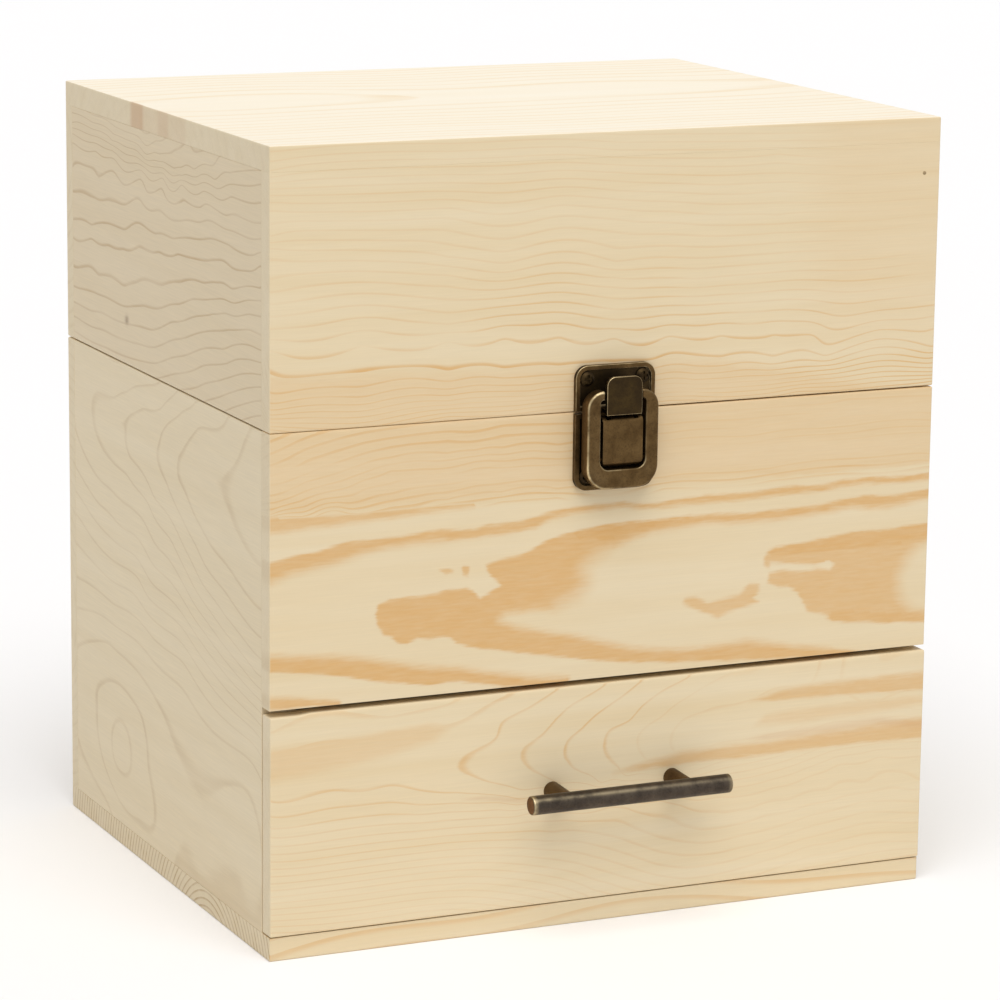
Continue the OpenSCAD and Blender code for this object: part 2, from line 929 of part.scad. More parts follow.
// Both screws in one leaf of each hinge, with s = 1 for the lid and -1 for the body
module hinge_screw_set(s, recess = true) {
    color(bronze)
        for (hinge = [-hinge_x, hinge_x], x = [-hinge_w / 3, hinge_w / 3])
            translate([hinge + x, back_y + leaf_t, seam_z + s * hinge_screw_z])
                rotate([-90, 0, 0])
                    flat_screw(hinge_head_d, hinge_screw_d, hinge_screw_l, recess);
}

module hinge_pin() {
    color(bronze)
        hinge_rod(0, hinge_pin_d / 2, hinge_w + knuckle_gap);
}

// Assembly

bottom_board();
back_panel();
front_panel();
shelf();
body_brads();
for (side = SIDES) {
    side_panel(side);
    tray_ledge(side);
}
for (j = [1 : rows])
    long_slat(j);
for (i = [1 : columns - 1])
    cross_slat(i);

lid_top();
lid_front();
lid_back();
lid_brads();
for (side = SIDES)
    lid_side(side);

tray_bottom();
tray_front();
tray_back();
tray_divider();
for (side = SIDES)
    tray_end(side);

drawer_front();
drawer_back();
drawer_bottom();
for (side = SIDES)
    drawer_side(side);

handle_bar();
handle_screws();
for (side = SIDES)
    handle_post(side);

catch_plate();
catch_screws();
latch_base();
latch_base_screws();
latch_flap();
latch_flap_pin();
latch_ring();
latch_ring_pin();

for (side = SIDES)
    translate([side_sign(side) * hinge_x, 0, 0]) {
        hinge_leaf(1);
        hinge_leaf(-1);
        hinge_pin();
    }
hinge_screw_set(1);  // hinge_lid_screws
hinge_screw_set(-1);  // hinge_body_screws
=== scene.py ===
"""Essential oil storage box as it looks: pine boards, an antiqued bronze latch and handle, on a plain pale floor.

Lengths are millimetres in the tables and formulas and become metres when a mesh is made.
X runs to the right, Y to the back and Z up, from the middle of the underside.
"""

import json
import math
from functools import partial

import bmesh
import bpy
import numpy as np
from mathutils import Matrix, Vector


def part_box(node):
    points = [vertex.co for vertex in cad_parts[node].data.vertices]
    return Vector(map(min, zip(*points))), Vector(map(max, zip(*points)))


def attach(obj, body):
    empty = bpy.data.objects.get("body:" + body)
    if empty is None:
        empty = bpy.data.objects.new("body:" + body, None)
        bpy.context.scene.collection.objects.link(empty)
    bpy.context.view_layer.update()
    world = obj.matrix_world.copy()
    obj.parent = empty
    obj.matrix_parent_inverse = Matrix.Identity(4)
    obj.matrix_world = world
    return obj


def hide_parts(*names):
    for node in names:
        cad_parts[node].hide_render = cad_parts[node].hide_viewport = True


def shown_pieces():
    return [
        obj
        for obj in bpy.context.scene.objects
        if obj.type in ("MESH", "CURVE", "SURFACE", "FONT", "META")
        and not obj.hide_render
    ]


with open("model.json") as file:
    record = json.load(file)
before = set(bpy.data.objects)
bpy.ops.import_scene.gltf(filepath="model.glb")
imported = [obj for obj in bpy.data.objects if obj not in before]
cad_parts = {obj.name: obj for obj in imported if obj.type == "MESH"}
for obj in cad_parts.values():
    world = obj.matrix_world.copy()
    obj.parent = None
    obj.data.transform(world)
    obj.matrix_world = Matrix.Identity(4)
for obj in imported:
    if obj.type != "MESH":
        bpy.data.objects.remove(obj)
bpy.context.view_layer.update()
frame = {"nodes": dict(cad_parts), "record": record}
scene = bpy.context.scene
MM = 0.001
# Mean of the wander of a ring in the pine, in rings
DRIFT = 0.04


# Shader helpers


def linear(code):
    """Linear RGBA of an sRGB hex colour."""
    c = np.array([int(code[i : i + 2], 16) for i in (1, 3, 5)]) / 255
    return (*np.where(c <= 0.04045, c / 12.92, ((c + 0.055) / 1.055) ** 2.4).tolist(), 1.0)


def add(tree, kind, sockets, out=0, **settings):
    """Adds one shader node with its settings and links, and gives one of its outputs. Sockets go by name or number."""
    made = tree.nodes.new("ShaderNode" + kind)
    for key, value in settings.items():
        setattr(made, key, value)
    for key, value in sockets.items():
        if isinstance(value, bpy.types.NodeSocket):
            tree.links.new(value, made.inputs[key])
        else:
            made.inputs[key].default_value = value
    return made.outputs[out] if made.outputs else None


def blank(name):
    """Material without nodes, and the function that adds them to it."""
    made = bpy.data.materials.new(name)
    made.use_nodes = True
    made.node_tree.nodes.clear()
    return made, partial(add, made.node_tree)


# Materials


def pine(name, tones, grain=None, fleck=0.1):
    """Planed pine, unvarnished: pale cream earlywood, latewood that warms to orange tan and stops at a sharp edge.

    Boards with a drawn figure carry it as attributes: ring counts the growth rings, width is the part of a ring that is
    latewood, line its depth, tint the resin streaks, shade the tone and fibre the place in metres with the grain first.
    Inside, fade and depth belong to the pools. Other boards get rings 3.4 mm apart round an axis along the grain.
    """
    made, node = blank(name)
    if grain is None:
        grain = 0
        place = node("Attribute", {}, "Vector", attribute_name="fibre")
        keys = ("ring", "width", "line", "tint", "shade", "inside", "fade", "depth")
        ring, width, line, tint, shade, inside, fade, depth = (
            node("Attribute", {}, "Fac", attribute_name=key) for key in keys
        )
    else:
        place = node("TexCoord", {}, "Object")
        across = [1.0, 1.0, 1.0]
        across[grain] = 0.0
        off_axis = node("VectorMath", {0: place, 1: (0.037, -0.064, 0.041)}, operation="ADD")
        off_axis = node("VectorMath", {0: off_axis, 1: across}, operation="MULTIPLY")
        radius = node("VectorMath", {0: off_axis}, "Value", operation="LENGTH")
        ring = node("Math", {0: radius, 1: 0.0034}, operation="DIVIDE")
        width, line, tint, shade, inside, fade, depth = 0.4, 0.4, 0.0, 1.0, -6.0, 1.0, 0.0
    # Length and thickness of lumps in mm: a ring's wander, its ragged edge, changes of tone and bundles of fibres
    lumps = {}
    for key, long, thick, detail in (
        ("wander", 45.0, 10.0, 2.0),
        ("ragged", 7.0, 0.9, 2.0),
        ("tone", 150.0, 7.0, 3.0),
        ("fibres", 18.0, 0.5, 3.0),
    ):
        scale = [1000.0 / thick] * 3
        scale[grain] = 1000.0 / long
        stretched = node("VectorMath", {0: place, 1: scale}, operation="MULTIPLY")
        lumps[key] = node("TexNoise", {"Vector": stretched, "Scale": 1.0, "Detail": detail, "Roughness": 0.55})

    drift = node("Math", {0: lumps["wander"], 1: 0.05, 2: ring}, operation="MULTIPLY_ADD")
    drift = node("Math", {0: lumps["ragged"], 1: 0.03, 2: drift}, operation="MULTIPLY_ADD")
    turn = node("Math", {0: drift}, operation="FRACT")
    start = node("Math", {0: 1.0, 1: width}, operation="SUBTRACT")
    full = node("Math", {0: width, 1: -0.35, 2: 1.0}, operation="MULTIPLY_ADD")
    rise = node("MapRange", {"Value": turn, "From Min": start, "From Max": full}, interpolation_type="SMOOTHSTEP")
    patchy = {"Value": lumps["tone"], "From Min": 0.35, "From Max": 0.65, "To Min": 0.5, "To Max": 1.15}
    broken = node("Math", {0: node("MapRange", patchy), 1: line}, operation="MULTIPLY")
    ebb = {"Value": turn, "From Min": 0.95, "From Max": 1.0, "To Min": broken, "To Max": 0.0}
    late = node("Math", {0: rise, 1: node("MapRange", ebb, interpolation_type="SMOOTHSTEP")}, operation="MULTIPLY")
    # Pools of latewood: ragged by 0.4 mm at the rim, and streaked along the fibres
    ragged = {"Value": lumps["ragged"], "From Min": 0.25, "From Max": 0.75}
    edge = node("MapRange", ragged | {"To Min": -0.4, "To Max": 0.4})
    edge = node("Math", {0: edge, 1: inside}, operation="ADD")
    streaky = node("MapRange", ragged | {"To Min": 0.84, "To Max": 1.1})
    streaky = node("Math", {0: streaky, 1: depth}, operation="MULTIPLY")
    pool = {"Value": edge, "From Min": -0.7, "From Max": fade, "To Max": streaky}
    late = node("Math", {0: late, 1: node("MapRange", pool, interpolation_type="SMOOTHSTEP")}, operation="MAXIMUM")

    pale, warm, latewood = tones
    colour = linear(pale)
    for amount, tone in ((lumps["tone"], warm), (late, latewood), (tint, "#CC9F72")):
        colour = node("Mix", {0: amount, 6: colour, 7: linear(tone)}, 2, data_type="RGBA")
    light = node("Math", {0: lumps["fibres"], 1: fleck, 2: 1 - fleck / 2}, operation="MULTIPLY_ADD")
    light = node("Math", {0: light, 1: shade}, operation="MULTIPLY")
    colour = node("VectorMath", {0: colour, "Scale": light}, operation="SCALE")
    rough = node("Math", {0: lumps["fibres"], 1: 0.16, 2: 0.44}, operation="MULTIPLY_ADD")
    height = node("Math", {0: late, 1: 0.8, 2: lumps["fibres"]}, operation="MULTIPLY_ADD")
    bump = node("Bump", {"Strength": 0.2, "Distance": 0.0001, "Height": height})
    node("OutputMaterial", {0: node("BsdfPrincipled", {"Base Color": colour, "Roughness": rough, "Normal": bump})})
    return made


def plywood(name):
    """Rotary-cut plywood: a broad watery figure on the faces and thin alternate plies, 1 mm each, on the edges."""
    made, node = blank(name)
    place = node("TexCoord", {}, "Object")
    lumps = {}
    for key, size in (("broad", (70.0, 22.0, 400.0)), ("fibres", (18.0, 0.6, 0.6))):
        stretched = node("VectorMath", {0: place, 1: [1000.0 / s for s in size]}, operation="MULTIPLY")
        lumps[key] = node("TexNoise", {"Vector": stretched, "Scale": 1.0, "Detail": 3.0})
    height = node("SeparateXYZ", {0: place}, 2)
    ply = node("Math", {0: height, 1: 0.001}, operation="PINGPONG")
    ply = node("MapRange", {"Value": ply, "From Min": 0.00035, "From Max": 0.00065, "To Max": 0.35})
    fleck = node("Math", {0: lumps["fibres"], 1: 0.25}, operation="MULTIPLY")
    colour = linear("#E2CCA3")
    for amount, tone in ((lumps["broad"], "#CFB07C"), (ply, "#B98F5C"), (fleck, "#C7A470")):
        colour = node("Mix", {0: amount, 6: colour, 7: linear(tone)}, 2, data_type="RGBA")
    rough = node("Math", {0: lumps["fibres"], 1: 0.2, 2: 0.5}, operation="MULTIPLY_ADD")
    bump = node("Bump", {"Strength": 0.2, "Distance": 0.0001, "Height": lumps["fibres"]})
    node("OutputMaterial", {0: node("BsdfPrincipled", {"Base Color": colour, "Roughness": rough, "Normal": bump})})
    return made


def bronze(name, low, high, even_wear_and_highlight=0.0, sheen=0.34):
    """Antiqued bronze plating: a brown patina in soft clouds 6 mm wide with fine specks, and pale brass that stands
    for rubbed places and for painted highlights.

    Both come from their attribute of the piece, plus an even amount for a whole finish.
    """
    made, node = blank(name)
    place = node("TexCoord", {}, "Object")
    clouds = node("TexNoise", {"Vector": place, "Scale": 1000 / 6.0, "Detail": 4.0, "Roughness": 0.6})
    specks = node("TexNoise", {"Vector": place, "Scale": 1000 / 0.6, "Detail": 3.0, "Roughness": 0.6})
    wear = node("Attribute", {}, "Fac", attribute_name="wear")
    wear = node("Math", {0: wear, 1: even_wear_and_highlight}, operation="ADD", use_clamp=True)
    patchy = {"Value": clouds, "From Min": 0.38, "From Max": 0.58, "To Min": 0.3, "To Max": 1.0}
    wear = node("Math", {0: wear, 1: node("MapRange", patchy)}, operation="MULTIPLY")
    cloud = node("MapRange", {"Value": clouds, "From Min": 0.3, "From Max": 0.7})
    fleck = node("MapRange", {"Value": specks, "From Min": 0.5, "From Max": 0.8, "To Max": 0.5})
    colour = linear(low)
    # The last, pale brass tone is for rubbed brass and for painted highlight
    for amount, tone in ((cloud, high), (fleck, "#2A2017"), (wear, "#E6D2A6")):
        colour = node("Mix", {0: amount, 6: colour, 7: linear(tone)}, 2, data_type="RGBA")
    rough = node("Math", {0: specks, 1: 0.25, 2: sheen}, operation="MULTIPLY_ADD")
    bump = node("Bump", {"Strength": 0.15, "Distance": 0.0001, "Height": specks})
    sockets = {"Base Color": colour, "Metallic": 1.0, "Roughness": rough, "Normal": bump}
    node("OutputMaterial", {0: node("BsdfPrincipled", sockets)})
    return made


def steel(name):
    """Zinc-plated drawn steel: light grey with faint dull clouds 1.5 mm wide."""
    made, node = blank(name)
    clouds = node("TexNoise", {"Vector": node("TexCoord", {}, "Object"), "Scale": 1000 / 1.5, "Detail": 3.0})
    colour = node("Mix", {0: clouds, 6: linear("#77726A"), 7: linear("#B7B3AB")}, 2, data_type="RGBA")
    rough = node("Math", {0: clouds, 1: 0.25, 2: 0.28}, operation="MULTIPLY_ADD")
    sockets = {"Base Color": colour, "Metallic": 1.0, "Roughness": rough}
    node("OutputMaterial", {0: node("BsdfPrincipled", sockets)})
    return made


def paper(name):
    """White matt paper under the box, with the faintest change of tone every 300 mm."""
    made, node = blank(name)
    cloud = node("TexNoise", {"Vector": node("TexCoord", {}, "Object"), "Scale": 1000 / 300.0})
    colour = node("Mix", {0: cloud, 6: linear("#FCFBFB"), 7: linear("#FDFCFC")}, 2, data_type="RGBA")
    sockets = {"Base Color": colour, "Roughness": 0.9, "Specular IOR Level": 0.1}
    node("OutputMaterial", {0: node("BsdfPrincipled", sockets)})
    return made


# Earlywood in two tones and latewood, as cut, as darkened and greyed on the sides as painted shade and as paled on the
# top as painted sheen
CUT = ("#E6D7B8", "#DEC79C", "#D6A766")
SIDE_PAINTED_SHADE = ("#DFD0B2", "#D6C4A0", "#B0905F")
TOP_PAINTED_SHEEN = ("#FAF1DF", "#F6E8CD", "#ECD3A6")

PINE = pine("pine_planed_drawn_figure", CUT)
PINE_SIDE_PAINTED_SHADE = pine("pine_planed_greyed_side", SIDE_PAINTED_SHADE, fleck=0.22)
PINE_TOP_PAINTED_SHEEN = pine("pine_planed_bleached_top", TOP_PAINTED_SHEEN)
PINE_X = pine("pine_planed_grain_across", CUT, 0)
PINE_Y = pine("pine_planed_grain_front_to_back", CUT, 1)
PLYWOOD = plywood("plywood_rotary_cut_sanded")
BRONZE = bronze("bronze_antiqued_plating", "#4C3921", "#6C5535")
DARK = bronze("bronze_antiqued_blackened", "#2B2118", "#44361F")
# Eased edges of the latch, handle and hinges: rubbed brass and painted highlight
RUBBED_AND_HIGHLIT = bronze("bronze_antiqued_rubbed_edge", "#54422A", "#7A623E", 0.38, 0.26)
TURNED = bronze("bronze_antiqued_turned_bar", "#3A342E", "#574D43", 0.0, 0.26)
COPPERY = bronze("bronze_antiqued_coppery_end", "#593B23", "#70492B")
BRAD = bronze("steel_brad_head_dulled", "#9C8868", "#B39E7C")
STEEL = steel("steel_zinc_plated_drawn")


# Mesh helpers


def corners(node):
    """Lowest and highest corner of a CAD node in mm."""
    low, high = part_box(node)
    return np.array(low) / MM, np.array(high) / MM


def placed(name, mesh, body, node):
    """Object of a mesh, which rides on a body and stands for a CAD node."""
    obj = bpy.data.objects.new(name, mesh)
    scene.collection.objects.link(obj)
    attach(obj, body)
    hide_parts(node)
    return obj


def piece(name, points, faces, body, node, materials, attributes, kinds=None):
    """Smooth shaded object from points in mm. Kinds gives each face's place in the materials."""
    mesh = bpy.data.meshes.new(name)
    mesh.from_pydata((points * MM).tolist(), [], faces)
    mesh.polygons.foreach_set("use_smooth", np.ones(len(faces), bool))
    for key, values in attributes.items():
        wide = values.ndim == 2
        layer = mesh.attributes.new(key, "FLOAT_VECTOR" if wide else "FLOAT", "POINT")
        layer.data.foreach_set("vector" if wide else "value", values.astype(np.float32).ravel())
    for each in materials:
        mesh.materials.append(each)
    if kinds is not None:
        mesh.polygons.foreach_set("material_index", kinds.astype(np.int32))
    placed(name, mesh, body, node)


def grid_faces(shape):
    """Faces of a grid of points, as the numbers of their four points."""
    index = np.arange(math.prod(shape)).reshape(shape)
    return np.stack([index[:-1, :-1], index[1:, :-1], index[1:, 1:], index[:-1, 1:]], -1).reshape(-1, 4)


def box_skin(xs, ys, zs):
    """Skin of a box: each of its six faces is the grid of two sets of lines, and shared rims are one row of points."""
    axes = (xs, ys, zs)
    points, quads, count = [], [], 0
    for k in range(3):
        a, b = (k + 1) % 3, (k + 2) % 3
        u, v = np.meshgrid(axes[a], axes[b], indexing="ij")
        quad = grid_faces(u.shape)
        for end, turned in ((axes[k][0], quad[:, ::-1]), (axes[k][-1], quad)):
            face = np.empty((u.size, 3))
            face[:, k], face[:, a], face[:, b] = end, u.ravel(), v.ravel()
            points.append(face)
            quads.append(turned + count)
            count += u.size
    points, quads = np.concatenate(points), np.concatenate(quads)
    _, first, back = np.unique(np.round(points, 4), axis=0, return_index=True, return_inverse=True)
    return points[first], back.ravel()[quads]


def grid_lines(low, high, step):
    """Lines from low to high about step apart, closer at both ends, where edges are eased."""
    rim = np.array([0.0, 0.08, 0.2, 0.36, 0.6])
    count = max(2, round((high - low - 2) / step) + 1)
    return np.concatenate([low + rim, np.linspace(low + 1, high - 1, count), high - rim[::-1]])


def eased(points, low, high, r):
    """Points outside the rounded box of radius r, pulled onto it: core + r (p - core) / |p - core|."""
    core = np.clip(points, low + r, high - r)
    out = points - core
    length = np.linalg.norm(out, axis=1, keepdims=True)
    return core + out * np.minimum(1, r / np.maximum(length, 1e-9))


# Figure of the wood


def pairs(path):
    """Points of a path in the tables, one a row."""
    return np.reshape(np.array(path, float), (-1, 2))


def drawn(curves, axes, tilt, streaks=(), pools=(), plain=-1.0):
    """Figure through listed curves, each (ring, width, line, points) on the plane of two axes.

    The ring count is a thin-plate spline, the smoothest sheet with the given height on every curve: sum of
    w d^2 log d^2 plus a plane, with d in units of 50 mm. Width and line are means weighted by 1 / d^3. The count leans
    by tilt per mm through the board.
    A streak is (strength, points (u, v, half thickness)), and fades as exp(-(distance / half thickness)^2).
    A pool is (depth, runs of its outline). Inside is the way into the strongest pool in mm, less than 0 outside.
    Rings fade out over 3 mm above the plain height.
    """
    unit = 50.0
    knots = np.concatenate([pairs(path) for *_, path in curves]) / unit
    rows = np.concatenate([np.tile(style, (len(path) // 2, 1)) for *style, path in curves])

    def squares(at):
        return np.maximum((at**2).sum(1)[:, None] + (knots**2).sum(1) - 2 * at @ knots.T, 0)

    def kernel(d2):
        return d2 * np.log(d2 + 1e-9)

    n = len(knots)
    plane = np.c_[np.ones(n), knots]
    system = np.block([[kernel(squares(knots)) + 1e-4 * np.eye(n), plane], [plane.T, np.zeros((3, 3))]])
    weights = np.linalg.solve(system, np.r_[rows[:, 0], 0, 0, 0])

    def figure(points):
        flat = points[:, list(axes)]
        at = flat / unit
        d2 = squares(at)
        depth = points[:, 3 - sum(axes)]
        ring = kernel(d2) @ weights[:n] + np.c_[np.ones(len(at)), at] @ weights[n:]
        ring += tilt * (depth - depth.min())
        near = 1 / (d2 + 0.002) ** 1.5
        near /= near.sum(1, keepdims=True)
        tint = np.zeros(len(at))
        for strength, path in streaks:
            u, v, half = np.array(path, float).T
            off = flat[:, 1] - np.interp(flat[:, 0], u, v)
            thick = np.interp(flat[:, 0], u, half, left=0.05, right=half[-1])
            ends = np.clip((flat[:, 0] - u[0]) / 8, 0, 1)
            tint = np.maximum(tint, strength * ends * np.exp(-((off / thick) ** 2)))
        line = near @ rows[:, 2] * np.clip((flat[:, 1] - plain) / 3, 0, 1)
        found = {"ring": ring - DRIFT, "width": near @ rows[:, 1], "line": line, "tint": tint}
        return found | pooled(flat, pools)

    return figure


def pooled(flat, pools):
    """How far inside the pools of latewood each point is, with the fade of the rim there and the pool's depth.

    The way to a rim is the least distance to its straight pieces, and a point is inside where a ray crosses it an odd
    number of times. A third of the fade lies outside the rim, and colour reaches 6 mm at most. Where pools overlap,
    the one with the most colour counts.
    """
    reach = 6.0
    inside, best = np.full(len(flat), -reach), np.full(len(flat), -9.0)
    fade, depth = np.ones(len(flat)), np.zeros(len(flat))
    for strength, runs in pools:
        rim = np.concatenate([pairs(run) for _, run in runs])
        soft = np.concatenate([np.full(len(run) // 2, mm) for mm, run in runs])
        close = np.flatnonzero(((flat > rim.min(0) - reach) & (flat < rim.max(0) + reach)).all(1))
        at, start, along = flat[close][:, None], rim[None], (np.roll(rim, -1, 0) - rim)[None]
        share = np.clip(((at - start) * along).sum(-1) / np.maximum((along**2).sum(-1), 1e-9), 0, 1)
        gaps = np.linalg.norm(at - start - share[..., None] * along, axis=-1)
        way = gaps.min(1)
        share = 1 / (gaps + 0.3) ** 4
        rim_fade = share @ soft / share.sum(1)
        over = (at[..., 1] < start[..., 1]) != (at[..., 1] < (start + along)[..., 1])
        slope = along[..., 0] / np.where(along[..., 1] == 0, 1e-9, along[..., 1])
        hits = over & (at[..., 0] < start[..., 0] + (at[..., 1] - start[..., 1]) * slope)
        way = np.where(hits.sum(1) % 2 == 1, way, -way) + 0.35 * rim_fade
        colour = np.where(way > 0, strength * np.minimum(way / rim_fade, 1), way)
        wins = colour > best[close]
        best[close[wins]] = colour[wins]
        inside[close[wins]], fade[close[wins]], depth[close[wins]] = way[wins], rim_fade[wins], strength
    return {"inside": inside, "fade": fade, "depth": depth}


def sawn(grain, heart, spacing, line, wave=3.0, bow=0.0):
    """Figure of a board sawn off a log: ring = distance to the heart line / spacing. The heart wanders along the grain.

    Heart is the log's middle on the two axes across the grain. Wave is the size of the wander in mm, and bow moves the
    heart aside with the square of the way along.
    """
    across = [k for k in range(3) if k != grain]

    def figure(points):
        along = points[:, grain]
        p, q = (points[:, k] - h for k, h in zip(across, heart))
        p = p + wave * np.sin(along / 47 + 1.3) + 0.4 * wave * np.sin(along / 17 + q / 29) + bow * (along / 100) ** 2
        q = q + 0.6 * wave * np.sin(along / 61 + p / 83) + 0.3 * wave * np.sin(along / 23 + 2.1)
        ones = np.ones(len(points))
        found = {"ring": np.hypot(p, q) / spacing, "width": 0.4 * ones, "line": line * ones, "tint": 0 * ones}
        return found | pooled(points[:, :2], ())

    return figure


# Every curve is a row of ring, width, line and points, and the points are x, z or y, z in turn.

# Front panel under the lid: fine level rings below the seam, plain below.
FINE = [
    (1, 0.6, 0, [-122, 86, 0, 86, 122, 86]),
    (2, 0.6, 0, [-122, 110, 0, 110, 122, 110]),
    (3, 0.6, 0, [-122, 135, -60, 138, 0, 140, 122, 141]),
    (4, 0.6, 0, [-122, 148, -100, 148, -60, 148.5]),
    (4, 0.5, 0.6, [-40, 149, -20, 148.8, 20, 149, 60, 148.6, 90, 149, 122, 149]),
    (14, 0.5, 0.6, [-122, 164, -110, 168, -100, 170.5, -90, 172.5, -80, 173.5, -60, 174.2, -40, 174.8, -20, 174]),
    (13, 0.5, 0.6, [-122, 161, -110, 163.5, -100, 166.5, -90, 169, -80, 170.5, -60, 171.2, -40, 171.5, -20, 171]),
    (12, 0.5, 0.6, [-122, 157.5, -110, 161, -100, 163, -90, 165.5, -80, 167, -60, 167, -40, 167.5, -20, 167]),
    (11, 0.5, 0.6, [-122, 155, -110, 158, -100, 160, -90, 162.5, -80, 164.5, -60, 164.5, -50, 165, -20, 164.5]),
    (10, 0.5, 0.6, [
        -122, 153, -110, 155.5, -100, 157.5, -90, 160, -80, 162.5, -65, 162, -50, 163.3, -30, 163, -20, 162,
    ]),
    (9, 0.5, 0.6, [-122, 151, -110, 153, -100, 155, -90, 157, -80, 158.5, -70, 159.5, -55, 160, -45, 161, -20, 160]),
    (8, 0.6, 0.5, [-110, 151.2, -90, 153.5, -80, 155, -70, 156.5, -55, 157, -45, 158, -20, 157.5]),
    (7, 0.6, 0.5, [-95, 151, -80, 152.5, -60, 154, -40, 155.5, -20, 155]),
    (6, 0.6, 0.5, [-80, 150.2, -70, 150.7, -60, 151.3, -40, 152.5, -20, 152]),
    (14, 0.48, 0.42, [20, 174.3, 55, 174, 90, 175, 122, 174]),
    (13, 0.48, 0.42, [20, 171, 50, 170.8, 80, 170.8, 95, 171.5, 122, 171]),
    (12, 0.48, 0.42, [20, 168, 50, 167.5, 80, 167.8, 122, 168]),
    (11, 0.48, 0.42, [20, 165.4, 55, 165, 90, 165.5, 122, 165.3]),
    (10, 0.48, 0.42, [20, 163, 60, 163, 122, 163.2]),
    (9, 0.48, 0.42, [20, 161, 60, 160.6, 122, 161]),
    (8, 0.48, 0.42, [20, 158, 60, 158, 80, 159, 122, 158.6]),
    (7, 0.48, 0.42, [20, 155.5, 60, 155.6, 122, 156]),
    (6, 0.48, 0.42, [20, 153, 60, 153, 122, 153.6]),
    (5, 0.48, 0.42, [-40, 150.6, 20, 150.8, 60, 150.8, 122, 151]),
]

# Rims that two pools of the right flame share
FLAME_TOP = [
    125, 128.6, 118, 128.2, 110, 127.7, 100, 127.6, 92, 127.8, 85, 127, 78, 126, 70, 125.4, 63, 124.8, 60, 123.8,
]
FLAME_FOOT = [85, 97.3, 90, 96.2, 97, 95.8, 105, 94.8, 112, 94.3, 118, 93.8, 125, 93.6]

